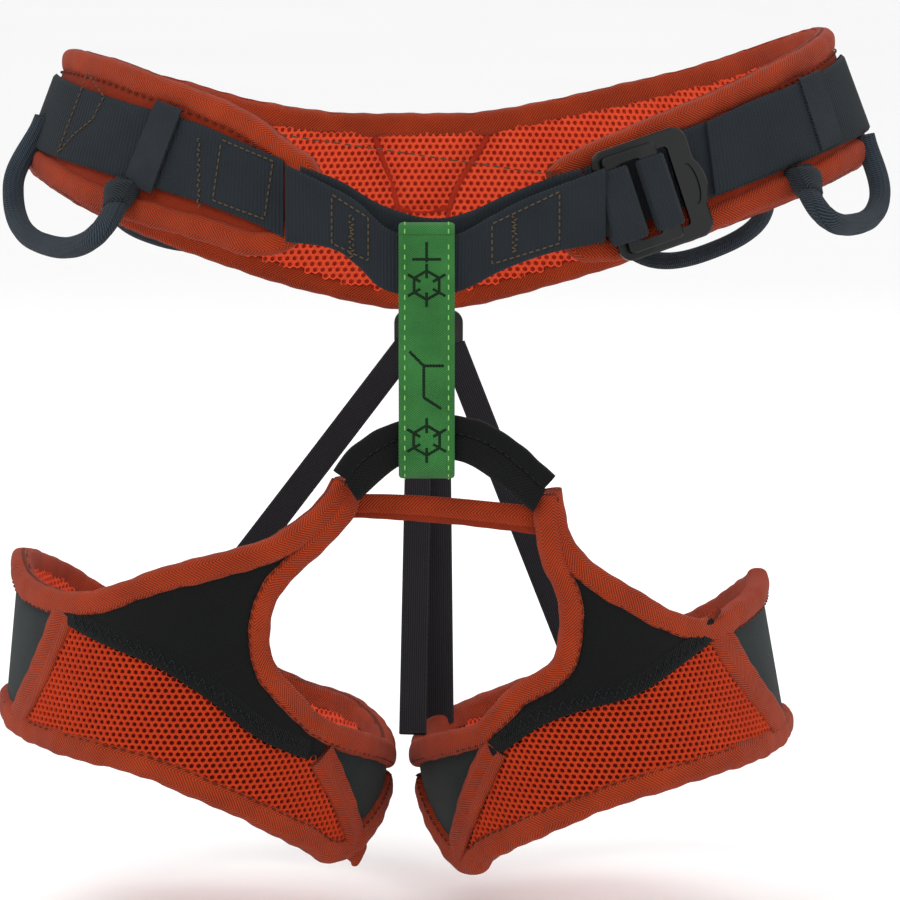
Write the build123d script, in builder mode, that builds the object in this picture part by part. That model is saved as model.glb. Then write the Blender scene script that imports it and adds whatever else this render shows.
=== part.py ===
from build123d import *
import math
import os

# Climbing harness: a padded waist belt, a tie-in loop with its belay loop, and two leg loops that
# hang on a bridge in front and on elastic risers behind. Millimetres, +Z up, front towards -Y.
# The origin is the centre of the wearer's waist.

# ---- driving dimensions -------------------------------------------------------------------
WAIST_RADIUS_X = 157.5          # inside of the belt, at z = 0
WAIST_RADIUS_Y = 90.0
WAIST_FLARE_X = -0.375          # the belt widens downwards over the hips
WAIST_FLARE_Y = -0.2
LEG_LEVEL = -170.0              # level at which the leg loops' sizes are stated

LINING = 1.0                    # spacer mesh against the body
FOAM = 5.0                      # belt padding
LEG_FOAM = 4.0
SHELL = 1.0                     # outer fabric
WEBBING = 1.2                   # sewn flat webbing
GAP = 0.3                       # between layers that lie on each other
BINDING = 8.0                   # width of the folded edge binding
SEAM_GAP = 0.5                  # between neighbouring panels of one layer

TIE_IN_RADIUS_Y = 104.5         # inside of the tie-in loop's front layer
TIE_IN_THICKNESS = 1.8
REAR_STRAP_RADIUS_Y = 97.5
STRAP_THICKNESS = 1.6

BELAY_CENTRE_X = -9.0
BELAY_WIDTH = 19.5
BELAY_THICKNESS = 2.0
BELAY_TOP = 12.5
BELAY_BOTTOM = -77.5
BELAY_Y = -105.4
BELAY_GAP_TOP = 4.2             # clear space between its two legs
BELAY_GAP_BOTTOM = 8.4

BRIDGE_THICKNESS = 3.5
BRIDGE_WEBBING = 1.5

GEAR_TUBE = 4.3                 # radius of a front gear loop's tube
REAR_TUBE = 3.2
COLLAR_LENGTH = 11.0            # sleeve at a front gear loop's attachment
REAR_COLLAR_LENGTH = 6.0
COLLAR_CLEARANCE = 0.3

BUCKLE_PLATE = 2.4
RELEASE_PLATE = 2.0
RELEASE_LEVEL = 3.1             # back of the release plate above the back of the base plate
BUCKLE_STRAP = 1.4
BUCKLE_STRAP_WIDTH = 26.0
RISER_WIDTH = 10.0
RISER_THICKNESS = 1.5

REACH = 260.0                   # how far a cutting prism reaches beyond the harness
SPLIT_SHIFT = 4.0               # front and back outlines meet a little off the walls' widest line
CURVE_STEPS = 8                 # spans that redraw one curve of an inset outline

# ---- leaning elliptical walls -------------------------------------------------------------
# centre x, centre y, radius x, radius y at a level, then the change of each for one millimetre up
WAIST = (0.0, 0.0, 0.0, WAIST_RADIUS_X, WAIST_RADIUS_Y, 0.0, 0.0, WAIST_FLARE_X, WAIST_FLARE_Y)
TIE_IN = (0.0, 0.0, 0.0, WAIST_RADIUS_X, TIE_IN_RADIUS_Y, 0.0, 0.0, 0.0, 0.0)
REAR_STRAP = (0.0, 0.0, 0.0, WAIST_RADIUS_X, REAR_STRAP_RADIUS_Y, 0.0, 0.0, 0.0, 0.0)
LEFT_LEG = (LEG_LEVEL, -91.4, -28.0, 66.4, 74.0, 0.10, -0.12, 0.0, 0.0)
RIGHT_LEG = (LEG_LEVEL, 51.5, -14.0, 64.5, 74.0, -0.18, -0.12, 0.0, 0.0)


def wall_section(wall, level):
    """Centre and radii of a leaning elliptical wall at one level."""
    rise = level - wall[0]
    return [value + slope * rise for value, slope in zip(wall[1:5], wall[5:9])]


def wall_y(wall, x, level, growth):
    """Front face of a wall, grown outwards, at one x and level."""
    centre_x, centre_y, radius_x, radius_y = wall_section(wall, level)
    share = (x - centre_x) / (radius_x + growth)
    return centre_y - (radius_y + growth) * math.sqrt(max(0.0, 1.0 - share * share))


def wall_ring(wall, inner, outer, low, high):
    """Closed ring of a wall between two growths. It is made in the builder that is open."""
    for growth, mode in ((outer, Mode.ADD), (inner, Mode.SUBTRACT)):
        sections = []
        for level in (low, high):
            centre_x, centre_y, radius_x, radius_y = wall_section(wall, level)
            with BuildSketch(Plane(origin=(centre_x, centre_y, level))) as section:
                with BuildLine():
                    for start in (45, 135, 225, 315):
                        EllipticalCenterArc((0, 0), radius_x + growth, radius_y + growth, start, arc_size=90)
                make_face()
            sections.append(section.sketch)
        loft(sections, ruled=True, clean=False, mode=mode)


def edge_through(points):
    """Straight line for two points, smooth curve for more."""
    if len(points) == 2:
        return Line(*points)
    return Spline(*points)


def inset_curves(curves, inset):
    """The same outline moved inwards, as plain curves again."""
    with BuildSketch() as flat:
        with BuildLine():
            for points in curves:
                edge_through(points)
        make_face()
        offset(amount=-inset, kind=Kind.INTERSECTION, mode=Mode.REPLACE)
    moved = []
    for edge in flat.sketch.face().outer_wire().order_edges():
        steps = 1 if edge.geom_type == GeomType.LINE else CURVE_STEPS
        places = [edge @ (step / steps) for step in range(steps + 1)]
        moved.append([(place.X, place.Y) for place in places])
    return moved


def prism(curves, near, far, inset=0.0):
    """Prism along Y from near to far. Its outline follows the given curves one after another."""
    if inset:
        curves = inset_curves(curves, inset)
    with BuildPart() as solid:
        with BuildSketch(Plane(origin=(0, far, 0), x_dir=(1, 0, 0), z_dir=(0, -1, 0))):
            with BuildLine():
                for points in curves:
                    edge_through(points)
            make_face()
        extrude(amount=far - near)
    return solid.part


def save(builder, name):
    """Label a finished piece and write it."""
    builder.part.label = name
    export_step(builder.part, f"parts/{name}.step")


os.makedirs("parts", exist_ok=True)

# ---- outlines of the belt, seen from the front (x, z) ---------------------------------------
SIDE_LEFT = -185.0
SIDE_RIGHT = 185.0
LEFT_PAD_TOP = [(SIDE_LEFT, 65.6), (-139, 65.6), (-107, 60), (-71, 47), (-50, 32)]
LEFT_PAD_TIP = [(-50, 32), (-46, 18), (-56, 3.4)]
LEFT_PAD_BOTTOM = [(-56, 3.4), (-73, 1.5), (-115, 12.5), (-151, 22), (SIDE_LEFT, 24)]
RIGHT_PAD_TOP = [(SIDE_RIGHT, 72), (138, 71.5), (87, 52.5), (52, 39), (35, 29)]
RIGHT_PAD_TIP = [(35, 29), (33, 14), (42, 1.5)]
RIGHT_PAD_BOTTOM = [(42, 1.5), (65, 0.7), (103, 13), (142, 24.5), (SIDE_RIGHT, 29)]
BACK_TOP = [(SIDE_LEFT, 65.6), (-139, 65.6), (-75, 45), (-8, 38.7), (55, 46), (138, 71.5), (SIDE_RIGHT, 72)]
BACK_BOTTOM = [(SIDE_RIGHT, 29), (156, 28.5), (63, -18), (-12, -36), (-83, -19), (-151, 22), (SIDE_LEFT, 24)]


def side(points_a, points_b):
    """Straight edge from the end of one curve to the start of the next."""
    return [points_a[-1], points_b[0]]


def belt_outline(inset):
    """Both front pads and the back of the belt as one set of prisms."""
    left = [LEFT_PAD_TOP, LEFT_PAD_TIP, LEFT_PAD_BOTTOM, side(LEFT_PAD_BOTTOM, LEFT_PAD_TOP)]
    right = [RIGHT_PAD_TOP, RIGHT_PAD_TIP, RIGHT_PAD_BOTTOM, side(RIGHT_PAD_BOTTOM, RIGHT_PAD_TOP)]
    back = [BACK_TOP, side(BACK_TOP, BACK_BOTTOM), BACK_BOTTOM, side(BACK_BOTTOM, BACK_TOP)]
    pads = prism(left, -REACH, -SPLIT_SHIFT, inset) + prism(right, -REACH, -SPLIT_SHIFT, inset)
    return pads + prism(back, -SPLIT_SHIFT, REACH, inset)


BELT_LOW = -45.0
BELT_HIGH = 80.0
SHELL_INNER = FOAM + GAP
SHELL_OUTER = SHELL_INNER + SHELL
WEBBING_INNER = SHELL_OUTER + GAP
WEBBING_OUTER = WEBBING_INNER + WEBBING
TAIL_INNER = WEBBING_OUTER + GAP
TAIL_OUTER = TAIL_INNER + BUCKLE_STRAP
KEEPER_INNER = TAIL_OUTER + GAP
KEEPER_OUTER = KEEPER_INNER + WEBBING
BINDING_INNER = -LINING - 2 * GAP
BINDING_OUTER = SHELL_OUTER

belt_full = belt_outline(0)
belt_core = belt_outline(BINDING + SEAM_GAP)
belt_inside = belt_outline(BINDING)

with BuildPart() as waist_foam:
    wall_ring(WAIST, 0, FOAM, BELT_LOW, BELT_HIGH)
    add(belt_core, clean=False, mode=Mode.INTERSECT)
save(waist_foam, "waist_foam")

with BuildPart() as waist_lining:
    wall_ring(WAIST, -GAP - LINING, -GAP, BELT_LOW, BELT_HIGH)
    add(belt_core, clean=False, mode=Mode.INTERSECT)
save(waist_lining, "waist_lining")

with BuildPart() as waist_shell:
    wall_ring(WAIST, SHELL_INNER, SHELL_OUTER, BELT_LOW, BELT_HIGH)
    add(belt_core, clean=False, mode=Mode.INTERSECT)
save(waist_shell, "waist_shell")

with BuildPart() as waist_binding:
    wall_ring(WAIST, BINDING_INNER, BINDING_OUTER, BELT_LOW, BELT_HIGH)
    add(belt_full, mode=Mode.INTERSECT)
    add(belt_inside, mode=Mode.SUBTRACT)
save(waist_binding, "waist_binding")

# ---- flat webbing on the outside of the belt ------------------------------------------------
HIP_LEFT = ([(-170, 66), (-139, 58), (-96, 46), (-77, 39.5), (-59, 32.4)],
            [(-59, 5.6), (-71, 11), (-96, 19), (-122, 26), (-170, 36)])
HIP_RIGHT = ([(50, 31.5), (83, 43), (131, 60), (175, 76)],
             [(175, 48), (139, 35), (86, 17), (50, 5.5)])
STRAP_TAIL = ([(89, 45), (105, 51.5), (122, 57)], [(130, 32.5), (113, 27), (92, 19.5)])
KEEPER_RIGHT = ([(122.5, 58.5), (130.5, 61)], [(139, 36), (131, 33)])
KEEPER_LEFT = ([(-102, 50), (-94, 47.5)], [(-103, 21.5), (-115, 26)])


def band(upper, lower):
    """Outline that runs along an upper edge and back along a lower one."""
    return [upper, side(upper, lower), lower, side(lower, upper)]


belt_bands = {
    "hip_webbing_left": (HIP_LEFT, WEBBING_INNER, WEBBING_OUTER),
    "hip_webbing_right": (HIP_RIGHT, WEBBING_INNER, WEBBING_OUTER),
    "strap_tail": (STRAP_TAIL, TAIL_INNER, TAIL_OUTER),
    "strap_keeper_right": (KEEPER_RIGHT, KEEPER_INNER, KEEPER_OUTER),
    "strap_keeper_left": (KEEPER_LEFT, TAIL_INNER, TAIL_OUTER),
}
for name, (edges, inner, outer) in belt_bands.items():
    outline = prism(band(*edges), -REACH, -2)
    with BuildPart() as webbing:
        wall_ring(WAIST, inner, outer, BELT_LOW, BELT_HIGH)
        add(outline, mode=Mode.INTERSECT)
    save(webbing, name)

# ---- tie-in loop: two upright layers of webbing in front of the gap between the pads ---------
TIE_IN_TOP = [(-58, 32), (-45, 26), (-33, 19.5), (-22, 10), (-9, 7.6), (2, 8.6), (14, 15), (27, 21.5), (48, 29.5)]
TIE_IN_BOTTOM = [(48, 4), (34, 1.5), (18, -4), (4, -11), (-9, -13.5), (-24, -11), (-33, -3), (-42, 3), (-58, 5)]
REAR_TOP = [(-53, 31), (-39, 26), (-25, 18), (-9, 13.4), (4, 15), (20, 22), (36, 28), (45, 30.5)]
REAR_BOTTOM = [(45, 7), (36, 4), (20, -2), (4, -9), (-9, -10.5), (-25, -6), (-39, 1), (-53, 6)]
LEFT_BARTACK_END = -39.0
RIGHT_BARTACK_START = 36.0

tie_in_outline = prism(band(TIE_IN_TOP, TIE_IN_BOTTOM), -REACH, 0)
rear_outline = prism(band(REAR_TOP, REAR_BOTTOM), -REACH, 0)
block_depth = TIE_IN_RADIUS_Y - REAR_STRAP_RADIUS_Y - STRAP_THICKNESS - 3 * GAP

with BuildPart() as bartack_blocks:
    wall_ring(TIE_IN, -block_depth, 0, BELT_LOW, BELT_HIGH)
    add(tie_in_outline, mode=Mode.INTERSECT)
    with Locations(((LEFT_BARTACK_END + RIGHT_BARTACK_START) / 2, 0, 0)):
        Box(RIGHT_BARTACK_START - LEFT_BARTACK_END, REACH, REACH, mode=Mode.SUBTRACT)

with BuildPart() as tie_in_loop:
    wall_ring(TIE_IN, 0, TIE_IN_THICKNESS, BELT_LOW, BELT_HIGH)
    add(tie_in_outline, mode=Mode.INTERSECT)
    add(bartack_blocks.part)
save(tie_in_loop, "tie_in_loop")

with BuildPart() as waist_strap:
    wall_ring(REAR_STRAP, 0, STRAP_THICKNESS, BELT_LOW, BELT_HIGH)
    add(rear_outline, clean=False, mode=Mode.INTERSECT)
save(waist_strap, "waist_strap")

# ---- belay loop: a flat band round the tie-in loop and the bridge, wider at the bottom --------
top_radius = BELAY_GAP_TOP / 2
bottom_radius = BELAY_GAP_BOTTOM / 2
top_centre = BELAY_TOP - BELAY_THICKNESS - top_radius
bottom_centre = BELAY_BOTTOM + BELAY_THICKNESS + bottom_radius
belay_side = Plane(origin=(BELAY_CENTRE_X, BELAY_Y, 0), x_dir=(0, 1, 0), z_dir=(1, 0, 0))

with BuildPart() as belay_loop:
    for growth, mode in ((BELAY_THICKNESS, Mode.ADD), (0, Mode.SUBTRACT)):
        with BuildSketch(belay_side):
            with Locations((0, top_centre)):
                Circle(top_radius + growth)
            with Locations((0, bottom_centre)):
                Circle(bottom_radius + growth)
            make_hull()
        extrude(amount=BELAY_WIDTH / 2, both=True, mode=mode)
save(belay_loop, "belay_loop")

# ---- bridge between the leg loops: webbing inside a sheath, and the cross strap under it ------
BRIDGE_TOP = [(-40, -74), (-36, -67.5), (-29, -62), (-19, -57.5), (-6, -55), (5, -56), (14, -59), (23, -65), (35, -76)]
BRIDGE_BOTTOM = [(28, -89), (16, -79), (4, -71.5), (-8, -70.5), (-19, -73), (-33, -85)]
CORE_TOP = [(-36.5, -76), (-28, -67), (-19, -63), (-6, -60.5), (5, -61.5), (14, -65), (31.5, -80)]
CORE_BOTTOM = [(29, -84), (16, -74.5), (4, -67.5), (-8, -67), (-18, -69.5), (-33.5, -80)]
bridge_front = BELAY_Y - BRIDGE_THICKNESS / 2
bridge_back = BELAY_Y + BRIDGE_THICKNESS / 2
core_front = BELAY_Y - BRIDGE_WEBBING / 2
core_back = BELAY_Y + BRIDGE_WEBBING / 2

sheath_outline = prism(band(BRIDGE_TOP, BRIDGE_BOTTOM), bridge_front, bridge_back)
sheath_hollow = prism(band(CORE_TOP, CORE_BOTTOM), core_front - GAP / 2, core_back + GAP / 2)
core_outline = prism(band(CORE_TOP, CORE_BOTTOM), core_front, core_back)

with BuildPart() as bridge_webbing:
    add(core_outline)
save(bridge_webbing, "bridge_webbing")

with BuildPart() as bridge_sheath:
    add(sheath_outline)
    add(sheath_hollow, mode=Mode.SUBTRACT)
save(bridge_sheath, "bridge_sheath")

CROSS_TOP = [(-31, -86.5), (-2, -88.5), (25, -89)]
CROSS_BOTTOM = [(25, -98), (-2, -96), (-31, -93.5)]
CROSS_LEFT_Y = -93.0
CROSS_RIGHT_Y = -99.5
cross_outline = prism(band(CROSS_TOP, CROSS_BOTTOM), -REACH, 0)
cross_strip = (-40, CROSS_LEFT_Y), (35, CROSS_RIGHT_Y)

with BuildPart() as cross_strap:
    with BuildSketch(Plane.XY.offset(-110)):
        with BuildLine():
            cross_line = Line(*cross_strip)
            offset(amount=STRAP_THICKNESS / 2)
        make_face()
    extrude(amount=40)
    add(cross_outline, clean=False, mode=Mode.INTERSECT)
save(cross_strap, "cross_strap")

# ---- gear loops ---------------------------------------------------------------------------------
# name: sleeved end, far end, drop under each of them, outward splay in degrees, tube radius, sleeve length
GEAR_LOOPS = {
    "gear_loop_front_left": ((-115, -89.5, 24), (-153, -18, 42), (29, 46), 12, GEAR_TUBE, COLLAR_LENGTH),
    "gear_loop_front_right": ((123, -85, 28), (152, -20, 44), (24, 42), 10, GEAR_TUBE, COLLAR_LENGTH),
    "gear_loop_rear_left": ((-143, 62, 24), (-78, 98, 4), (31, 23), 14, REAR_TUBE, REAR_COLLAR_LENGTH),
    "gear_loop_rear_right": ((141, 60, 22), (60, 105, -4), (26, 21), 14, REAR_TUBE, REAR_COLLAR_LENGTH),
}


def gear_plane(start, end, splay):
    """Plane of a gear loop: x runs from one attachment to the other, -y hangs down and outward."""
    along = (Vector(*end) - Vector(*start)).normalized()
    out = Vector(start[0] + end[0], start[1] + end[1], 0).normalized()
    lean = math.radians(splay)
    down = Vector(0, 0, -1) * math.cos(lean) + out * math.sin(lean)
    up = (down - along * down.dot(along)).normalized() * -1
    return Plane(origin=start, x_dir=along, z_dir=along.cross(up))


for name, (start, end, drops, splay, tube, sleeve) in GEAR_LOOPS.items():
    frame = gear_plane(start, end, splay)
    span = (Vector(*end) - Vector(*start)).length
    corners = (drops[0] - sleeve - 2, drops[1] * 0.8)
    with BuildPart() as gear_loop:
        with BuildLine(frame):
            route = FilletPolyline((0, 0), (3, -drops[0]), (span - 3, -drops[1]), (span, 0), radius=corners)
        with BuildSketch(Plane(origin=route @ 0, z_dir=route % 0)):
            Circle(tube)
        sweep()
    save(gear_loop, name)

    sleeve_start = Plane(origin=route @ 0, z_dir=route % 0)
    with BuildPart() as collar:
        with BuildSketch(sleeve_start):
            Circle(tube + 3.0)
        with BuildSketch(sleeve_start.offset(sleeve)):
            Circle(tube + 1.2)
        loft()
        with BuildSketch(sleeve_start.offset(-1)):
            Circle(tube + COLLAR_CLEARANCE)
        extrude(amount=sleeve + 2, mode=Mode.SUBTRACT)
    save(collar, name + "_collar")

# ---- double-plate buckle on the right of the tie-in loop ------------------------------------------
BUCKLE_X = 68.5
BUCKLE_Z = 20.5
BUCKLE_GROWTH = 11.2
BUCKLE_TILT = 17.0
BASE_HALF_WIDTH = 17.0
BASE_RIGHT_EDGE = 19.0
BASE_HALF_HEIGHT = 20.0
WINDOW_LEFT = -7.5
WINDOW_RIGHT = 11.0
WINDOW_HALF_HEIGHT = 14.5
HINGE_U = -12.0
RELEASE_BAR = 4.0
RELEASE_RIGHT_BAR = (-0.5, 6.5)
RELEASE_HALF_HEIGHT = 17.5
RAIL_HALF_HEIGHT = 14.0
STRAP_CLEARANCE = 0.4
HINGE_CLEARANCE = 0.7

buckle_out = Vector(0.267, -0.95, 0.12).normalized()
level_right = Vector(0, 0, 1).cross(buckle_out).normalized()
level_up = buckle_out.cross(level_right)
tilt = math.radians(BUCKLE_TILT)
buckle_right = level_right * math.cos(tilt) + level_up * math.sin(tilt)
buckle_origin = (BUCKLE_X, wall_y(WAIST, BUCKLE_X, BUCKLE_Z, BUCKLE_GROWTH), BUCKLE_Z)
buckle_plane = Plane(origin=buckle_origin, x_dir=buckle_right, z_dir=buckle_out)
window_centre = (WINDOW_LEFT + WINDOW_RIGHT) / 2

with BuildPart() as buckle_base_plate:
    with BuildSketch(buckle_plane):
        with Locations(((BASE_RIGHT_EDGE - BASE_HALF_WIDTH) / 2, 0)):
            RectangleRounded(BASE_RIGHT_EDGE + BASE_HALF_WIDTH, 2 * BASE_HALF_HEIGHT, 5)
        with Locations((BASE_RIGHT_EDGE - 5, -1)):
            Ellipse(7.5, 11)
        with Locations((window_centre, 0)):
            RectangleRounded(WINDOW_RIGHT - WINDOW_LEFT, 2 * WINDOW_HALF_HEIGHT, 1.5, mode=Mode.SUBTRACT)
    extrude(amount=BUCKLE_PLATE)
    front_rim = buckle_base_plate.faces().sort_by(Axis((0, 0, 0), buckle_out))[-1].outer_wire().edges()
    chamfer(front_rim, 0.7)
    with BuildSketch(buckle_plane.offset(BUCKLE_PLATE)):
        with Locations((BASE_RIGHT_EDGE - 3.6, -1)):
            Ellipse(2.8, 7.5)
    extrude(amount=-0.8, mode=Mode.SUBTRACT)
save(buckle_base_plate, "buckle_base_plate")

release_left = HINGE_U - RELEASE_BAR / 2
release_width = RELEASE_RIGHT_BAR[1] - release_left
with BuildPart() as buckle_release_plate:
    with BuildSketch(buckle_plane.offset(RELEASE_LEVEL)):
        with Locations((release_left + release_width / 2, 0)):
            RectangleRounded(release_width, 2 * RELEASE_HALF_HEIGHT, 1.8)
        with Locations(((HINGE_U + RELEASE_BAR / 2 + RELEASE_RIGHT_BAR[0]) / 2, 0)):
            window_width = RELEASE_RIGHT_BAR[0] - HINGE_U - RELEASE_BAR / 2
            RectangleRounded(window_width, 2 * RAIL_HALF_HEIGHT, 1.5, mode=Mode.SUBTRACT)
    extrude(amount=RELEASE_PLATE)
    release_front = buckle_release_plate.faces().sort_by(Axis((0, 0, 0), buckle_out))[-1]
    chamfer(release_front.outer_wire().edges(), 0.5)
save(buckle_release_plate, "buckle_release_plate")


def strap_round_bar(left, right, back, front):
    """Closed turn of webbing round a bar, given the clear space inside it."""
    turn_plane = Plane(origin=buckle_plane.origin, x_dir=buckle_plane.x_dir, z_dir=-buckle_plane.y_dir)
    centre = ((left + right) / 2, (back + front) / 2)
    with BuildSketch(turn_plane) as profile:
        with Locations(centre):
            RectangleRounded(right - left + 2 * BUCKLE_STRAP, front - back + 2 * BUCKLE_STRAP, BUCKLE_STRAP + 0.6)
            RectangleRounded(right - left, front - back, 0.6, mode=Mode.SUBTRACT)
    extrude(profile.sketch, amount=BUCKLE_STRAP_WIDTH / 2, both=True)


with BuildPart() as buckle_anchor_webbing:
    inner_left = -BASE_HALF_WIDTH - STRAP_CLEARANCE
    inner_right = WINDOW_LEFT + STRAP_CLEARANCE
    inner_front = RELEASE_LEVEL + RELEASE_PLATE + HINGE_CLEARANCE
    strap_round_bar(inner_left, inner_right, -STRAP_CLEARANCE, inner_front)
save(buckle_anchor_webbing, "buckle_anchor_webbing")

with BuildPart() as buckle_strap_turn:
    inner_left = RELEASE_RIGHT_BAR[0] - STRAP_CLEARANCE
    inner_right = RELEASE_RIGHT_BAR[1] + STRAP_CLEARANCE
    inner_front = RELEASE_LEVEL + RELEASE_PLATE + STRAP_CLEARANCE
    strap_round_bar(inner_left, inner_right, RELEASE_LEVEL - STRAP_CLEARANCE, inner_front)
save(buckle_strap_turn, "buckle_strap_turn")

hinge_point = buckle_plane.from_local_coords((HINGE_U, 0, RELEASE_LEVEL + RELEASE_PLATE / 2))
print("buckle hinge", hinge_point, "axis", buckle_plane.y_dir)

# ---- rear buckle and elastic risers ------------------------------------------------------------
REAR_BUCKLE_X = -9.0
REAR_BUCKLE_Y = 104.3
REAR_BUCKLE_THICKNESS = 3.0
REAR_BUCKLE_LOW = -55.5
REAR_BUCKLE_HIGH = -39.5
REAR_BUCKLE_WIDTH = 26.0
ANCHOR_WIDTH = 20.0
rear_middle = (REAR_BUCKLE_LOW + REAR_BUCKLE_HIGH) / 2
rear_plane = Plane(origin=(REAR_BUCKLE_X, REAR_BUCKLE_Y, rear_middle), x_dir=(-1, 0, 0), z_dir=(0, 1, 0))

with BuildPart() as rear_buckle:
    with BuildSketch(rear_plane):
        RectangleRounded(REAR_BUCKLE_WIDTH, REAR_BUCKLE_HIGH - REAR_BUCKLE_LOW, 5)
        with Locations((0, 4), (0, -4)):
            SlotOverall(REAR_BUCKLE_WIDTH - 9, 3.2, mode=Mode.SUBTRACT)
    extrude(amount=REAR_BUCKLE_THICKNESS)
    chamfer(rear_buckle.faces().sort_by(Axis.Y)[-1].outer_wire().edges(), 0.6)
save(rear_buckle, "rear_buckle")

anchor_edges = [
    [(REAR_BUCKLE_X - ANCHOR_WIDTH / 2, -8), (REAR_BUCKLE_X + ANCHOR_WIDTH / 2, -8)],
    [(REAR_BUCKLE_X + ANCHOR_WIDTH / 2, REAR_BUCKLE_HIGH + 0.5), (REAR_BUCKLE_X - ANCHOR_WIDTH / 2, REAR_BUCKLE_HIGH + 0.5)],
]
anchor_outline = prism(band(*anchor_edges), 2, REACH)
with BuildPart() as rear_anchor_webbing:
    wall_ring(WAIST, BINDING_OUTER + GAP, BINDING_OUTER + GAP + WEBBING, BELT_LOW, BELT_HIGH)
    add(anchor_outline, clean=False, mode=Mode.INTERSECT)
save(rear_anchor_webbing, "rear_anchor_webbing")

RISERS = {
    "riser_left_outer": ((-22, 103.0, -60), (-96, 45, -149)),
    "riser_left_inner": ((-12, 107.0, -57), (-21, 0, -177)),
    "riser_right_inner": ((-5, 109.2, -57), (-9, 16, -176)),
    "riser_right_outer": ((2.5, 103.4, -59), (46, 60, -163)),
}
for name, (top, bottom) in RISERS.items():
    along = (Vector(*bottom) - Vector(*top)).normalized()
    across = (Vector(1, 0, 0) - along * along.X).normalized()
    with BuildPart() as riser:
        with BuildSketch(Plane(origin=top, x_dir=across, z_dir=along)):
            Rectangle(RISER_WIDTH, RISER_THICKNESS)
        extrude(amount=(Vector(*bottom) - Vector(*top)).length)
    save(riser, name)

# ---- leg loops -----------------------------------------------------------------------------------
LEG_LOW = -232.0
LEG_HIGH = -84.0
LEFT_OUT = -185.0
LEFT_IN = -12.0
RIGHT_OUT = 150.0
RIGHT_IN = -26.0

# front: outer top edge, tongue end, edge round the crotch, bottom edge; back: top edge, bottom edge
LEG_EDGES = {
    "left": {
        "wall": LEFT_LEG,
        "top": [(LEFT_OUT, -116), (-152, -114), (-131, -119), (-103, -109), (-72, -99), (-47, -90.5)],
        "tongue": [(-47, -90.5), (-36.5, -91.5)],
        "hole": [(-36.5, -91.5), (-57, -113), (-63, -127), (-61, -143), (-48, -160), (-33, -176), (LEFT_IN, -187)],
        "bottom": [(LEFT_IN, -208), (-37, -221), (-84, -198), (-116, -184), (-145, -178), (LEFT_OUT, -174)],
        "back_top": [(LEFT_OUT, -116), (-160, -115), (-120, -141), (-61, -171), (-33, -179), (LEFT_IN, -187)],
        "back_bottom": [(LEFT_IN, -208), (-40, -212), (-90, -206), (-140, -185), (-163, -176.5), (LEFT_OUT, -174)],
        "hem": [(-141, -130), (-116, -138.5), (-97, -145), (-79, -158), (-59, -173), (-46, -181)],
        "stretch": [(-46, -181), (-20, -170), (-20, -70), (-150, -70), (-141, -130)],
        "mesh": [(-46, -181), (-40, -198), (-36, -240), (-170, -240), (-157, -167), (-141, -130)],
        "strips": ([(-143, -129), (-134, -134), (-157, -176), (-168, -170), (-143, -129)],
                   [(-50, -180), (-42, -180), (-33, -218), (-42, -220), (-50, -180)]),
    },
    "right": {
        "wall": RIGHT_LEG,
        "top": [(RIGHT_OUT, -122), (114, -122), (105, -124), (91, -128.5), (77, -123.5), (56, -112), (40, -98)],
        "tongue": [(40, -98), (29, -97.5)],
        "hole": [(29, -97.5), (35, -110), (37.5, -125), (32, -144), (16, -158), (4, -172), (RIGHT_IN, -188)],
        "bottom": [(RIGHT_IN, -208), (4, -222), (53, -198), (80, -189), (114, -182.5), (RIGHT_OUT, -180)],
        "back_top": [(RIGHT_OUT, -122), (114, -124), (89, -146), (50, -167), (22, -176), (2, -181), (RIGHT_IN, -188)],
        "back_bottom": [(RIGHT_IN, -208), (20, -214), (70, -204), (105, -189), (125, -182), (RIGHT_OUT, -180)],
        "hem": [(94, -137), (72, -149), (55, -157), (32, -164.5), (15, -179)],
        "stretch": [(15, -179), (-20, -170), (-20, -70), (105, -70), (94, -137)],
        "mesh": [(15, -179), (10, -196), (2, -240), (122, -240), (114, -175), (94, -137)],
        "strips": ([(88, -139), (96, -134), (119, -172), (111, -178), (88, -139)],
                   [(9, -179), (17, -179), (7, -218), (-3, -217), (9, -179)]),
    },
}
PANEL_INNER = LEG_FOAM + GAP
PANEL_OUTER = PANEL_INNER + SHELL
LEG_BINDING_OUTER = PANEL_OUTER + 0.6


def straight_curves(points):
    """Consecutive points as straight curves."""
    return [[start, end] for start, end in zip(points, points[1:])]


def leg_outline(edges, split, inset):
    """Front and back of a leg loop as prisms that meet at y = split."""
    front = [edges["top"], edges["tongue"], edges["hole"], side(edges["hole"], edges["bottom"]),
             edges["bottom"], side(edges["bottom"], edges["top"])]
    back = [edges["back_top"], side(edges["back_top"], edges["back_bottom"]), edges["back_bottom"],
            side(edges["back_bottom"], edges["back_top"])]
    return prism(front, -REACH, split, inset) + prism(back, split, REACH, inset)


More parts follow.
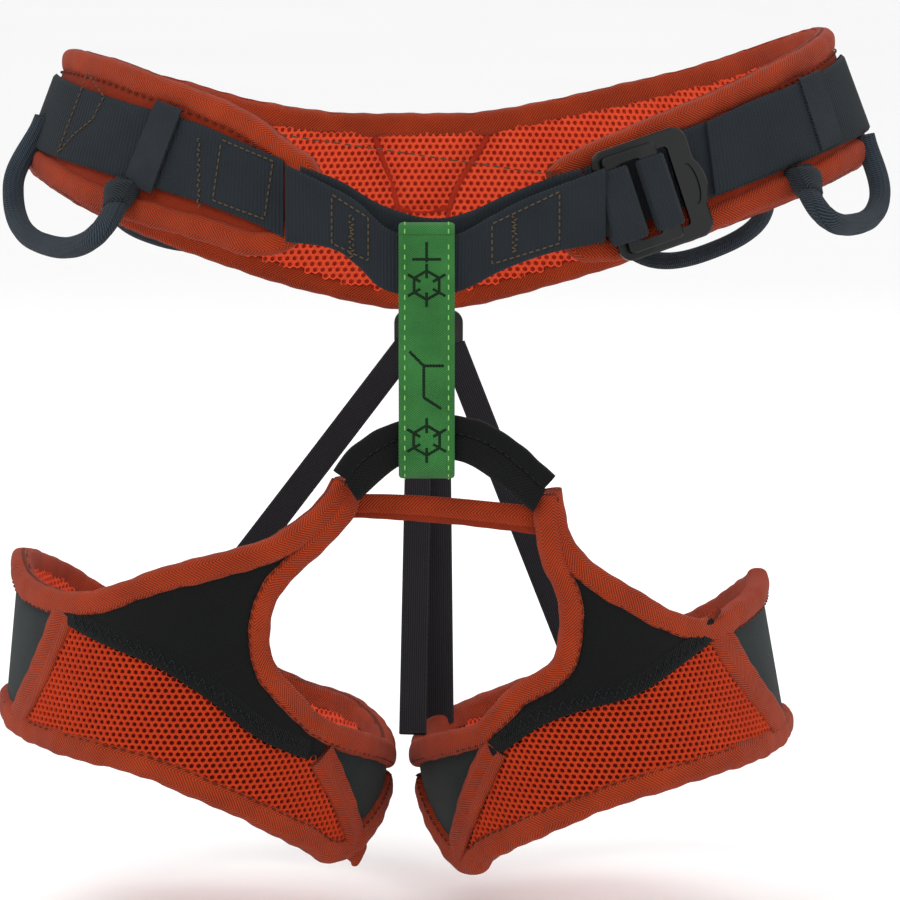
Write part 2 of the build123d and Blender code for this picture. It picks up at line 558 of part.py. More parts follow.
for leg_name, edges in LEG_EDGES.items():
    wall = edges["wall"]
    split = wall[2] + SPLIT_SHIFT
    leg_full = leg_outline(edges, split, 0)
    leg_core = leg_outline(edges, split, BINDING + SEAM_GAP)
    leg_inside = leg_outline(edges, split, BINDING)
    stretch_curves = [edges["hem"]] + straight_curves(edges["stretch"])
    mesh_curves = [edges["hem"]] + straight_curves(edges["mesh"])
    stretch_zone = prism(stretch_curves, -REACH, split)
    mesh_zone = prism(mesh_curves, -REACH, split)
    strip_zones = [prism(straight_curves(strip), -REACH, split) for strip in edges["strips"]]

    with BuildPart() as leg_foam:
        wall_ring(wall, 0, LEG_FOAM, LEG_LOW, LEG_HIGH)
        add(leg_core, mode=Mode.INTERSECT)
    save(leg_foam, f"leg_{leg_name}_foam")

    with BuildPart() as leg_lining:
        wall_ring(wall, -GAP - LINING, -GAP, LEG_LOW, LEG_HIGH)
        add(leg_core, mode=Mode.INTERSECT)
    save(leg_lining, f"leg_{leg_name}_lining")

    with BuildPart() as leg_binding:
        wall_ring(wall, BINDING_INNER, LEG_BINDING_OUTER, LEG_LOW, LEG_HIGH)
        add(leg_full, mode=Mode.INTERSECT)
        add(leg_inside, mode=Mode.SUBTRACT)
    save(leg_binding, f"leg_{leg_name}_edge_binding")

    with BuildPart() as panel_layer:
        wall_ring(wall, PANEL_INNER, PANEL_OUTER, LEG_LOW, LEG_HIGH)
        add(leg_core, mode=Mode.INTERSECT)

    with BuildPart() as leg_shell:
        add(panel_layer.part)
        add(stretch_zone, mode=Mode.SUBTRACT)
        add(mesh_zone, mode=Mode.SUBTRACT)
    save(leg_shell, f"leg_{leg_name}_shell")

    with BuildPart() as leg_stretch:
        add(panel_layer.part)
        add(stretch_zone, mode=Mode.INTERSECT)
    save(leg_stretch, f"leg_{leg_name}_stretch_panel")

    with BuildPart() as leg_mesh:
        add(panel_layer.part)
        add(mesh_zone, mode=Mode.INTERSECT)
    save(leg_mesh, f"leg_{leg_name}_mesh_panel")

    with BuildPart() as leg_strips:
        wall_ring(wall, LEG_BINDING_OUTER - GAP, LEG_BINDING_OUTER - GAP + SHELL, LEG_LOW, LEG_HIGH)
        add(leg_core, mode=Mode.INTERSECT)
        add(strip_zones, mode=Mode.INTERSECT)
    save(leg_strips, f"leg_{leg_name}_panel_binding")
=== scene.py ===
"""Looks of a climbing harness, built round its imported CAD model.

Lengths are millimetres until a mesh is made; the front is -Y, x runs to the right and z up.
Most cloth lies on one of three leaning elliptical walls: the belt and the two leg loops. Outlines are
given as (x, z) seen from the front, and are worked out in a wall's unrolled coordinates, arc length and z.
"""
import math
import random

import bpy
import numpy as np
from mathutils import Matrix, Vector
from mathutils.bvhtree import BVHTree
from mathutils.geometry import delaunay_2d_cdt


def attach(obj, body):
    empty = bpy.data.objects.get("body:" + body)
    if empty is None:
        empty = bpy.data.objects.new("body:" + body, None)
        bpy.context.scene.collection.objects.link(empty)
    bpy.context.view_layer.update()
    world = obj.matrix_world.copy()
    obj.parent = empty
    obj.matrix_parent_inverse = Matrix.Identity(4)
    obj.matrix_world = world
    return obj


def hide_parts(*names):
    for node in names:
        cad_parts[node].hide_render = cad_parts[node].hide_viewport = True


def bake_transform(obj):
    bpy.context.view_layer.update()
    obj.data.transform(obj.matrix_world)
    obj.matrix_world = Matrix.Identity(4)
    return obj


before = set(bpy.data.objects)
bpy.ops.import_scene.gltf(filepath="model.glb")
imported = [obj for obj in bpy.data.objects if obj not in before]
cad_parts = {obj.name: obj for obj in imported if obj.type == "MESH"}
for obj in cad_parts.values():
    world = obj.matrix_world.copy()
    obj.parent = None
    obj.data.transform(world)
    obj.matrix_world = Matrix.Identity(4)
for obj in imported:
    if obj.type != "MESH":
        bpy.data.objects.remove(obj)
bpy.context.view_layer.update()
scene = bpy.context.scene
scene.view_settings.view_transform = "Standard"
rng = random.Random(7)

MM = 0.001
REACH = 25.0                     # how far outside a pad a ray starts when a piece is laid on it
BINDING_WIDTH = 9.0
BINDING_HEIGHT = 8.0
RIB_PITCH = 1.5                  # of the grey webbing
PAD_STEP = 4.0                   # size of a pad's triangles
SLICK = 0.35                     # lift of a panel above the pad it is sewn to
SWELL = 1.1                      # how far a pad may swell


# ---- plane geometry --------------------------------------------------------------------------
def unit(vectors):
    """Vectors at length one, along the last axis."""
    vectors = np.asarray(vectors, float)
    return vectors / np.maximum(np.linalg.norm(vectors, axis=-1, keepdims=True), 1e-9)


def lengths(path):
    """Length run at each point of a path."""
    return np.concatenate([[0], np.cumsum(np.linalg.norm(np.diff(path, axis=0), axis=1))])


def between(at, have, points):
    """Points read off between known ones. have gives the known points' places."""
    return np.stack([np.interp(at, have, points[:, k]) for k in range(points.shape[1])], 1)


def even(points, step, closed=False):
    """The same line with points about step apart."""
    p = np.asarray(points, float)
    if closed:
        p = np.vstack([p, p[:1]])
    run = lengths(p)
    count = max(2, int(round(run[-1] / step)) + 1)
    made = between(np.linspace(0, run[-1], count), run, p)
    return made[:-1] if closed else made


def smooth(points, step, closed=False):
    """Evenly spaced points on a smooth curve through the given ones."""
    p = np.asarray(points, float)
    if closed:
        p = np.vstack([p[-1], p, p[0], p[1]])
    else:
        p = np.vstack([2 * p[0] - p[1], p, 2 * p[-1] - p[-2]])
    t = np.linspace(0, 1, 20, endpoint=False)[:, None]
    dense = [0.5 * (2 * b + (c - a) * t + (2 * a - 5 * b + 4 * c - d) * t**2 + (3 * b - a - 3 * c + d) * t**3)
             for a, b, c, d in zip(p, p[1:], p[2:], p[3:])]
    if not closed:
        dense.append(p[-2:-1])
    return even(np.vstack(dense), step, closed)


def distance(points, line, closed=False):
    """Distance of each point to a polyline."""
    a = np.asarray(line, float)
    b = np.roll(a, -1, axis=0) if closed else a[1:]
    a = a if closed else a[:-1]
    best = np.full(len(points), 1e9)
    along = b - a
    square = np.maximum((along**2).sum(1), 1e-9)
    for start in range(0, len(points), 2000):
        q = np.asarray(points[start:start + 2000], float)[:, None]
        share = np.clip(((q - a) * along).sum(2) / square, 0, 1)
        gap = q - (a + share[..., None] * along)
        best[start:start + 2000] = np.sqrt((gap**2).sum(2)).min(1)
    return best


def inside(points, ring):
    """Which points lie inside a closed outline."""
    p = np.asarray(points, float)
    found = np.zeros(len(p), bool)
    for (x0, y0), (x1, y1) in zip(ring, np.roll(ring, -1, axis=0)):
        crosses = (y0 > p[:, 1]) != (y1 > p[:, 1])
        rise = y1 - y0 if abs(y1 - y0) > 1e-9 else 1e-9
        found ^= crosses & (p[:, 0] < (x1 - x0) * (p[:, 1] - y0) / rise + x0)
    return found


def hex_grid(low, high, pitch):
    """Points of a hexagonal grid that covers a box."""
    rows = np.arange(low[1], high[1], pitch * math.sqrt(0.75))
    columns = np.arange(low[0], high[0], pitch)
    grid = [(x + (k % 2) * pitch / 2, z) for k, z in enumerate(rows) for x in columns]
    return np.array(grid)


def triangulate(ring, step):
    """Points and triangles that fill a closed outline."""
    grid = hex_grid(ring.min(0), ring.max(0), step)
    grid = grid[inside(grid, ring)]
    grid = grid[distance(grid, ring, True) > 0.55 * step]
    points = [Vector(p) for p in np.vstack([ring, grid])]
    made = delaunay_2d_cdt(points, [], [list(range(len(ring)))], 1, 1e-5)
    return np.array([tuple(v) for v in made[0]]), [tuple(f) for f in made[2]]


# ---- walls -----------------------------------------------------------------------------------
class Wall:
    """A leaning elliptical wall. Angles are degrees, 0 in front and positive to the right."""

    def __init__(self, radii, centre=(0, 0), lean=(0, 0), flare=(0, 0), level=0.0):
        self.radii, self.centre, self.lean, self.flare, self.level = radii, centre, lean, flare, level
        self.angles = np.arange(-400.0, 400.5, 0.5)
        a = np.radians(self.angles)
        pace = np.hypot(radii[0] * np.cos(a), radii[1] * np.sin(a)) * math.radians(0.5)
        self.run = np.cumsum(pace)
        self.run -= np.interp(0, self.angles, self.run)

    def place(self, unrolled, off):
        """Points at (arc length, z) and an offset outwards."""
        unrolled = np.asarray(unrolled, float)
        a = np.radians(np.interp(unrolled[..., 0], self.run, self.angles))
        z = unrolled[..., 1]
        rise = z - self.level
        x = self.centre[0] + self.lean[0] * rise + (self.radii[0] + self.flare[0] * rise + off) * np.sin(a)
        y = self.centre[1] + self.lean[1] * rise - (self.radii[1] + self.flare[1] * rise + off) * np.cos(a)
        return np.stack([x, y, z + 0 * x], axis=-1)

    def out(self, unrolled):
        """Outward directions at (arc length, z)."""
        a = np.radians(np.interp(np.asarray(unrolled, float)[..., 0], self.run, self.angles))
        return unit(np.stack([np.sin(a) / self.radii[0], -np.cos(a) / self.radii[1], 0 * a], axis=-1))

    def front(self, points, off=6.0):
        """(arc length, z) of (x, z) points on the front half."""
        p = np.asarray(points, float)
        rise = p[:, 1] - self.level
        middle = self.centre[0] + self.lean[0] * rise
        share = np.clip((p[:, 0] - middle) / (self.radii[0] + self.flare[0] * rise + off), -1, 1)
        return np.stack([np.interp(np.degrees(np.arcsin(share)), self.angles, self.run), p[:, 1]], axis=1)

    def back(self, points, side=1.0):
        """(arc length, z) of (x, z) points on the back half. side is 1 past the right, -1 past the left."""
        p = self.front(points)
        p[:, 0] = side * np.interp(180, self.angles, self.run) - p[:, 0]
        return p


WAIST = Wall((157.5, 90.0), flare=(-0.375, -0.2))
TIE_IN = Wall((157.5, 104.5))
REAR_STRAP = Wall((157.5, 97.5))
LEGS = {
    "left": Wall((66.4, 74.0), (-91.4, -28.0), (0.10, -0.12), level=-170.0),
    "right": Wall((64.5, 74.0), (51.5, -14.0), (-0.18, -0.12), level=-170.0),
}


# ---- meshes ----------------------------------------------------------------------------------
def new_mesh(name, points, faces, materials, uv=None, slots=None, soft=True):
    """Mesh object from points in millimetres. uv is one pair in metres for each point."""
    mesh = bpy.data.meshes.new(name)
    mesh.from_pydata((np.asarray(points, float) * MM).tolist(), [], [tuple(map(int, f)) for f in faces])
    for material in materials if isinstance(materials, (list, tuple)) else [materials]:
        mesh.materials.append(material)
    if slots is not None:
        mesh.polygons.foreach_set("material_index", np.asarray(slots, np.int32))
    if uv is not None:
        layer = mesh.uv_layers.new(name="UVMap")
        corner = np.zeros(len(mesh.loops), np.int32)
        mesh.loops.foreach_get("vertex_index", corner)
        layer.data.foreach_set("uv", np.asarray(uv, np.float32)[corner].ravel())
    mesh.polygons.foreach_set("use_smooth", np.full(len(mesh.polygons), soft))
    mesh.validate()
    mesh.update()
    made = bpy.data.objects.new(name, mesh)
    scene.collection.objects.link(made)
    return made


def subdivide(piece, levels=1):
    modifier = piece.modifiers.new("subdivision", "SUBSURF")
    modifier.levels = modifier.render_levels = levels
    return piece


def grid_faces(rows, columns, closed_rows=False, closed_columns=False):
    """Quads of a grid whose points are listed row by row."""
    faces = []
    for i in range(rows if closed_rows else rows - 1):
        for j in range(columns if closed_columns else columns - 1):
            a, b = i * columns, ((i + 1) % rows) * columns
            faces.append((a + j, a + (j + 1) % columns, b + (j + 1) % columns, b + j))
    return faces


def sweep(name, path, out, section, material, closed=False, wrinkle=0.0):
    """Tube whose section, (sideways, outwards) points, follows a path. out gives the outward directions."""
    path, out = np.asarray(path, float), unit(out)
    ahead = (np.roll(path, -1, 0) - np.roll(path, 1, 0)) if closed else np.gradient(path, axis=0)
    ahead = unit(ahead)
    aside = unit(np.cross(out, ahead))
    out = unit(np.cross(ahead, aside))
    section = np.asarray(section, float)
    run = lengths(path)
    swell = np.ones(len(path))
    if wrinkle:
        for wave in (43.0, 17.0, 9.0):
            swell += wrinkle * 0.5 * np.sin(2 * math.pi * (run / wave + rng.random()))
    points = (path[:, None] + section[None, :, :1] * aside[:, None] * swell[:, None, None]
              + section[None, :, 1:] * out[:, None] * swell[:, None, None])
    around = lengths(section)
    uv = np.stack(np.broadcast_arrays(run[:, None], around[None]), -1).reshape(-1, 2) * MM
    faces = grid_faces(len(path), len(section), closed, True)
    points = points.reshape(-1, 3)
    if not closed:
        count = len(section)
        faces += [tuple(range(count)), tuple(len(points) - 1 - k for k in range(count))]
    return new_mesh(name, points, faces, material, uv)


def rounded(width, height, power=2.6, count=28):
    """Superellipse section."""
    a = np.linspace(0, 2 * math.pi, count, endpoint=False)
    c, s = np.cos(a), np.sin(a)
    across = np.sign(c) * abs(c) ** (2 / power) * width / 2
    outwards = np.sign(s) * abs(s) ** (2 / power) * height / 2
    return np.stack([across, outwards], 1)


def ribbon(name, upper, lower, out, thickness, material, rib=0.28, pitch=RIB_PITCH, columns=13, bow=0.0):
    """Flat webbing between two edge lines of the same count, ribbed across. out is the outward direction."""
    upper, lower, out = (np.asarray(a, float) for a in (upper, lower, unit(out)))
    middle = (upper + lower) / 2
    run = lengths(middle)
    rows = max(2, int(run[-1] / pitch * 5))
    at = np.linspace(0, run[-1], rows)
    upper, lower = between(at, run, upper), between(at, run, lower)
    out = unit(between(at, run, out))
    width = np.linalg.norm(upper - lower, axis=1)
    edge = min(1.4, thickness)
    inner = np.linspace(1, columns - 4, columns - 4)
    ease = np.concatenate([[0, 0.35], inner, [columns - 3.35, columns - 3]])
    share = (ease - ease[0]) / (ease[-1] - ease[0])
    inward = np.minimum(share, 1 - share)[None] * width[:, None]
    fall = (1 - np.sqrt(np.clip(1 - (1 - np.clip(inward / edge, 0, 1)) ** 2, 0, 1))) * thickness / 2
    ribs = rib * (np.abs(np.sin(math.pi * at / pitch)) - 0.6)[:, None] * np.clip(inward / 0.8, 0.25, 1)
    crown = bow * (4 * share * (1 - share))[None]
    base = upper[:, None] + (lower - upper)[:, None] * share[None, :, None]
    front = base + out[:, None] * (thickness / 2 - fall + ribs + crown)[..., None]
    back = base - out[:, None] * (thickness / 2 - fall + ribs * 0.5 - crown)[..., None]
    points = np.concatenate([front, back[:, ::-1]], axis=1)
    count = points.shape[1]
    across = share[None] * width[:, None]
    uv = np.stack(np.broadcast_arrays(at[:, None], np.concatenate([across, across[:, ::-1]], 1)), -1) * MM
    faces = grid_faces(rows, count, False, True)
    points = points.reshape(-1, 3)
    faces += [tuple(range(count)), tuple(len(points) - 1 - k for k in range(count))]
    return new_mesh(name, points, faces, material, uv.reshape(-1, 2))


def wall_ribbon(name, wall, top, bottom, off, thickness, material, past=None, **options):
    """Webbing on a wall between two edge curves of (x, z) points. past is a (sideways, down) step that
    carries the end on the wall's side round to the back."""
    steps = 90
    lines = []
    for line in (top, bottom):
        knots = wall.front(line, np.mean(off))
        if past is not None:
            on_left = knots[0, 0] < knots[-1, 0] and past[0] < 0
            ends = [knots[0 if on_left else -1] + np.array(past) * share for share in (0.5, 1.0)]
            knots = np.vstack([ends[::-1], knots] if on_left else [knots, ends])
        curve = smooth(knots, 0.5)
        lines.append(between(np.linspace(0, 1, steps), np.linspace(0, 1, len(curve)), curve))
    offs = np.interp(np.linspace(0, 1, steps), np.linspace(0, 1, np.size(off)), np.atleast_1d(off))
    upper, lower = (wall.place(line, offs) for line in lines)
    return ribbon(name, upper, lower, wall.out((lines[0] + lines[1]) / 2), thickness, material, **options)


def stitches(name, paths, material, length=2.2, gap=1.3, radius=0.32):
    """Rows of thread as one piece. Each path is (points, outward directions)."""
    points, faces = [], []
    ring = 6
    for path, out in paths:
        path, out = np.asarray(path, float), unit(out)
        run = lengths(path)
        for start in np.arange(0.3, run[-1] - length, length + gap):
            at = start + length * np.array([0.0, 0.12, 0.5, 0.88, 1.0])
            spine = between(at, run, path)
            up = unit(between(at, run, out))
            side = unit(np.cross(up, np.gradient(spine, axis=0)))
            rise = radius * np.array([-1.0, 0.1, 0.5, 0.1, -1.0])
            size = radius * np.array([0.35, 0.9, 1.0, 0.9, 0.35])
            first = len(points)
            for k in range(5):
                for j in range(ring):
                    a = 2 * math.pi * j / ring
                    lift = up[k] * (rise[k] + size[k] * math.sin(a))
                    points.append(spine[k] + lift + side[k] * size[k] * math.cos(a))
            faces += [tuple(first + v for v in f) for f in grid_faces(5, ring, False, True)]
            last = first + 5 * ring - 1
            faces += [tuple(first + j for j in range(ring)), tuple(last - j for j in range(ring))]
    return new_mesh(name, points, faces, material)


def on_wall(wall, unrolled, off):
    """A stitch path on a wall."""
    unrolled = np.asarray(unrolled, float)
    return wall.place(unrolled, off), wall.out(unrolled)


# ---- materials -------------------------------------------------------------------------------
def srgb(red, green, blue):
    """Linear colour of the usual 0 to 255 values."""
    def linear(v):
        return ((v / 255 + 0.055) / 1.055) ** 2.4 if v > 10 else v / 255 / 12.92

    return linear(red), linear(green), linear(blue), 1.0


class Shader:
    """A material's node tree, with short calls for what the fabrics need."""

    def __init__(self, name, roughness, sheen=0.0, metallic=0.0, specular=0.12, coat=0.0):
        self.material = bpy.data.materials.new(name)
        self.material.use_nodes = True
        self.tree = self.material.node_tree
        self.shader = self.tree.nodes["Principled BSDF"]
        self.set("Roughness", roughness)
        self.set("Sheen Weight", sheen)
        self.set("Sheen Roughness", 0.6)
        self.set("Metallic", metallic)
        self.set("Specular IOR Level", specular)
        self.set("Coat Weight", coat)

    def set(self, socket, value):
        self.shader.inputs[socket].default_value = value

    def node(self, kind, inputs=(), **settings):
        made = self.tree.nodes.new(kind)
        for key, value in settings.items():
            setattr(made, key, value)
        for socket, value in inputs:
            if isinstance(value, bpy.types.NodeSocket):
                self.tree.links.new(value, made.inputs[socket])
            else:
                made.inputs[socket].default_value = value
        return made

    def math(self, operation, a, b=0.0):
        return self.node("ShaderNodeMath", [(0, a), (1, b)], operation=operation).outputs[0]

    def scaled_uv(self, turn=0.0, shift=(0, 0)):
        """UV in millimetres, as (u, v, whole vector)."""
        where = self.node("ShaderNodeTexCoord").outputs["UV"]
        scale = (1 / MM, 1 / MM, 1 / MM)
        mapped = self.node("ShaderNodeMapping", [(0, where), ("Scale", scale), ("Rotation", (0, 0, turn))])
        split = self.node("ShaderNodeSeparateXYZ", [(0, mapped.outputs[0])])
        return split.outputs[0], split.outputs[1], mapped.outputs[0]

    def spots(self, vector, scale, detail=2.0):
        inputs = [("Vector", vector), ("Scale", scale), ("Detail", detail)]
        return self.node("ShaderNodeTexNoise", inputs).outputs["Fac"]

    def wave(self, value, pitch):
        """0 to 1 wave of a coordinate in millimetres."""
        turned = self.math("SINE", self.math("MULTIPLY", value, 2 * math.pi / pitch))
        return self.math("ADD", self.math("MULTIPLY", turned, 0.5), 0.5)

    def ramp(self, value, stops):
        made = self.node("ShaderNodeValToRGB", [(0, value)])
        bar = made.color_ramp
        bar.elements[0].position, bar.elements[0].color = stops[0]
        bar.elements[1].position, bar.elements[1].color = stops[-1]
        for place, colour in stops[1:-1]:
            bar.elements.new(place).color = colour
        return made.outputs[0]

    def finish(self, colour, height, depth, rough=None):
        self.tree.links.new(colour, self.shader.inputs["Base Color"])
        bump = self.node("ShaderNodeBump", [("Height", height), ("Strength", 1.0), ("Distance", depth * MM)])
        self.tree.links.new(bump.outputs[0], self.shader.inputs["Normal"])
        if rough is not None:
            self.tree.links.new(rough, self.shader.inputs["Roughness"])
        return self.material


def fabric(name, dark, light, pattern, pitch, depth=0.25, sheen=0.04, blotch=0.25, band=4.0, turn=0.0):
    """Woven cloth: a thread pattern in millimetres over slow colour changes and fine fuzz."""
    s = Shader(name, 0.85, sheen)
    u, v, whole = s.scaled_uv(turn)
    if pattern == "herringbone":
        zig = s.math("PINGPONG", v, band)
        threads = s.wave(s.math("ADD", u, zig), pitch)
    elif pattern == "twill":
        threads = s.wave(s.math("ADD", u, s.math("MULTIPLY", v, 0.6)), pitch)
    elif pattern == "rib":
        threads = s.wave(u, pitch)
    else:
        rising, falling = s.math("ADD", u, v), s.math("SUBTRACT", u, v)
        threads = s.math("MULTIPLY", s.wave(rising, pitch), s.wave(falling, pitch))
        threads = s.math("POWER", threads, 0.5)
    slow = s.spots(whole, 0.06, 3.0)
    fuzz = s.spots(whole, 1.9, 2.0)
    level = s.math("ADD", s.math("MULTIPLY", threads, 0.62), s.math("MULTIPLY", fuzz, 0.25))
    level = s.math("ADD", level, s.math("MULTIPLY", s.math("SUBTRACT", slow, 0.5), blotch * 2))
    colour = s.ramp(level, [(0.05, dark), (0.95, light)])
    height = s.math("ADD", threads, s.math("MULTIPLY", fuzz, 0.35))
    return s.finish(colour, height, depth)


def object_noise(name, dark, light, scale, roughness, depth, metallic=0.0, specular=0.4, coat=0.0):
    """Moulded or anodised part: colour, roughness and fine grain from noise in the part's own place."""
    s = Shader(name, roughness, 0.0, metallic, specular, coat)
    where = s.node("ShaderNodeTexCoord").outputs["Object"]
    slow = s.spots(where, scale * 40, 3.0)
    fine = s.spots(where, scale * 900, 2.0)
    mixed = s.math("ADD", s.math("MULTIPLY", slow, 0.7), s.math("MULTIPLY", fine, 0.3))
    colour = s.ramp(mixed, [(0.25, dark), (0.8, light)])
    rough = s.math("ADD", s.math("MULTIPLY", slow, 0.25), roughness - 0.1)
    return s.finish(colour, fine, depth, rough)


RUST = fabric("binding_herringbone", srgb(98, 26, 3), srgb(186, 62, 14),
              "herringbone", 1.15, 0.3, 0.06, band=4.6)
RUST_CLOTH = fabric("rust_cloth", srgb(92, 24, 4), srgb(164, 50, 12), "plain", 0.8, 0.15)
BRIGHT = fabric("spacer_backing", srgb(128, 26, 8), srgb(196, 56, 26), "plain", 0.9, 0.15)
NET = fabric("spacer_net", srgb(206, 58, 26), srgb(240, 96, 58), "plain", 0.5, 0.08)
LEG_NET = fabric("leg_net", srgb(160, 40, 6), srgb(204, 64, 18), "plain", 0.5, 0.08)
LEG_BACKING = fabric("leg_backing", srgb(70, 14, 2), srgb(112, 28, 6), "plain", 0.8, 0.1)
GREY = fabric("grey_webbing", srgb(11, 14, 17), srgb(46, 53, 59),
              "rib", 0.5, 0.08, blotch=0.12, turn=math.pi / 2)
GREY_FINE = fabric("grey_fine_weave", srgb(17, 21, 25), srgb(54, 61, 68), "plain", 0.62, 0.12)
GREY_TWILL = fabric("grey_twill", srgb(9, 12, 15), srgb(50, 57, 64), "herringbone", 1.0, 0.25, band=3.0)
SLATE = fabric("slate_shell", srgb(15, 20, 23), srgb(36, 44, 49), "plain", 0.7, 0.12)
SIDE = fabric("side_fabric", srgb(12, 17, 17), srgb(42, 51, 51), "twill", 0.8, 0.1)
BLACK = fabric("stretch_fabric", srgb(2, 3, 2), srgb(13, 15, 14), "twill", 0.7, 0.08, blotch=0.12)
BLACK_WEAVE = fabric("black_weave", srgb(1, 2, 1), srgb(17, 20, 18), "plain", 1.2, 0.4)
GREEN = fabric("belay_weave", srgb(10, 60, 20), srgb(66, 140, 68), "twill", 0.6, 0.16, 0.08, blotch=0.3)
ELASTIC = fabric("riser_elastic", srgb(16, 16, 19), srgb(44, 44, 49),
                 "rib", 0.8, 0.1, blotch=0.08, turn=math.pi / 2)
GEAR = fabric("gear_sleeve", srgb(15, 20, 25), srgb(58, 69, 79), "twill", 0.9, 0.2)
THREAD = fabric("brown_thread", srgb(50, 38, 26), srgb(108, 90, 66), "twill", 0.4, 0.05)
RUST_THREAD = fabric("dark_rust_thread", srgb(60, 16, 3), srgb(112, 36, 10), "twill", 0.4, 0.05)
GREEN_THREAD = fabric("green_thread", srgb(84, 150, 66), srgb(150, 205, 120), "twill", 0.4, 0.05)
DARK_THREAD = fabric("dark_thread", srgb(6, 9, 11), srgb(30, 35, 40), "twill", 0.4, 0.05)
INK = fabric("printed_ink", srgb(3, 22, 8), srgb(14, 44, 18), "twill", 1.0, 0.2)
METAL = object_noise("black_anodised", srgb(3, 4, 4), srgb(16, 18, 18), 1.0, 0.36, 0.02, 0.7, 0.5, 0.2)
PLASTIC = object_noise("rear_plastic", srgb(9, 9, 10), srgb(30, 30, 32), 1.0, 0.5, 0.03)


# ---- padded pieces ---------------------------------------------------------------------------
def swell(piece, held, cap):
    """Short cloth simulation that inflates a pad. Held points stay, and none moves further than cap."""
    group = piece.vertex_groups.new(name="held")
    group.add([int(i) for i in held], 1.0, "REPLACE")
    cloth = piece.modifiers.new("cloth", "CLOTH")
    cloth.settings.quality = 4
    cloth.settings.use_pressure = True
    cloth.settings.uniform_pressure_force = 4.0
    cloth.settings.effector_weights.gravity = 0.0
    cloth.settings.vertex_group_mass = "held"
    for step in range(1, 21):
        scene.frame_set(step)
    seen = piece.evaluated_get(bpy.context.evaluated_depsgraph_get())
    count = len(piece.data.vertices)
    rest, moved = np.zeros(count * 3), np.zeros(count * 3)
    piece.data.vertices.foreach_get("co", rest)
    seen.data.vertices.foreach_get("co", moved)
    move = (moved - rest).reshape(-1, 3)
    size = np.linalg.norm(move, axis=1, keepdims=True)
    move *= np.minimum(1, cap * MM / np.maximum(size, 1e-9))
    piece.modifiers.remove(cloth)
    piece.vertex_groups.clear()
    piece.data.vertices.foreach_set("co", (rest.reshape(-1, 3) + move).ravel())
    piece.data.update()
    scene.frame_set(1)


def pad(name, wall, ring, edges, low, high, seams, materials, choose, shape_edge=9.0):
    """Closed pad on a wall. Its two faces meet at the edges, lie thickest in between and pull in along seams.
    ring is the unrolled outline, edges the parts of it that are closed. choose gives an outer face's
    material slot."""
    flat, triangles = triangulate(ring, PAD_STEP)
    from_edge = np.min([distance(flat, e) for e in edges], axis=0)
    share = np.clip(from_edge / shape_edge, 0, 1)
    thick = 0.30 + 0.70 * np.sqrt(1 - (1 - share) ** 2)
    on_seam = np.zeros(len(flat))
    for seam in seams:
        on_seam = np.maximum(on_seam, np.exp(-(distance(flat, seam) / 2.6) ** 2))
    middle, half = (low + high) / 2, (high - low) / 2
    inner = wall.place(flat, middle - half * thick * (1 - 0.8 * on_seam))
    outer = wall.place(flat, middle + half * thick)
    count = len(flat)
    held = np.where(from_edge < 0.5)[0]
    faces = [f[::-1] for f in triangles] + [tuple(i + count for i in f) for f in triangles]
    slots = [0] * len(triangles) + [choose(flat[list(f)].mean(0)) for f in triangles]
    index = {tuple(np.round(p, 3)): i for i, p in enumerate(flat)}
    border = [index[tuple(np.round(p, 3))] for p in ring if tuple(np.round(p, 3)) in index]
    for a, b in zip(border, border[1:] + border[:1]):
        faces.append((a, b, b + count, a + count))
        slots.append(choose(flat[a]))
    uv = np.vstack([flat, flat]) * MM
    made = new_mesh(name, np.vstack([inner, outer]), faces, materials, uv, slots)
    pinned = np.concatenate([held, held + count, np.where(on_seam > 0.6)[0]])
    swell(made, pinned, SWELL)
    return made


def tree_of(piece):
    """Search tree of a mesh, in metres."""
    points = [v.co.copy() for v in piece.data.vertices]
    return BVHTree.FromPolygons(points, [tuple(p.vertices) for p in piece.data.polygons])


def offset_on(tree, wall, unrolled, outside):
    """Offset from the wall of the surface that the tree holds, seen from outside or from inside."""
    unrolled = np.asarray(unrolled, float)
    base, out = wall.place(unrolled, 0.0), wall.out(unrolled)
    sign = -1.0 if outside else 1.0
    found = np.full(len(unrolled), np.nan)
    for k, (p, n) in enumerate(zip(base, out)):
        start = Vector(((p - sign * n * REACH) * MM).tolist())
        hit = tree.ray_cast(start, Vector((sign * n).tolist()), 2 * REACH * MM)[0]
        if hit is not None:
            found[k] = (np.array(hit) / MM - p) @ n
    known = found[~np.isnan(found)]
    found[np.isnan(found)] = np.median(known) if len(known) else 0.0
    return found


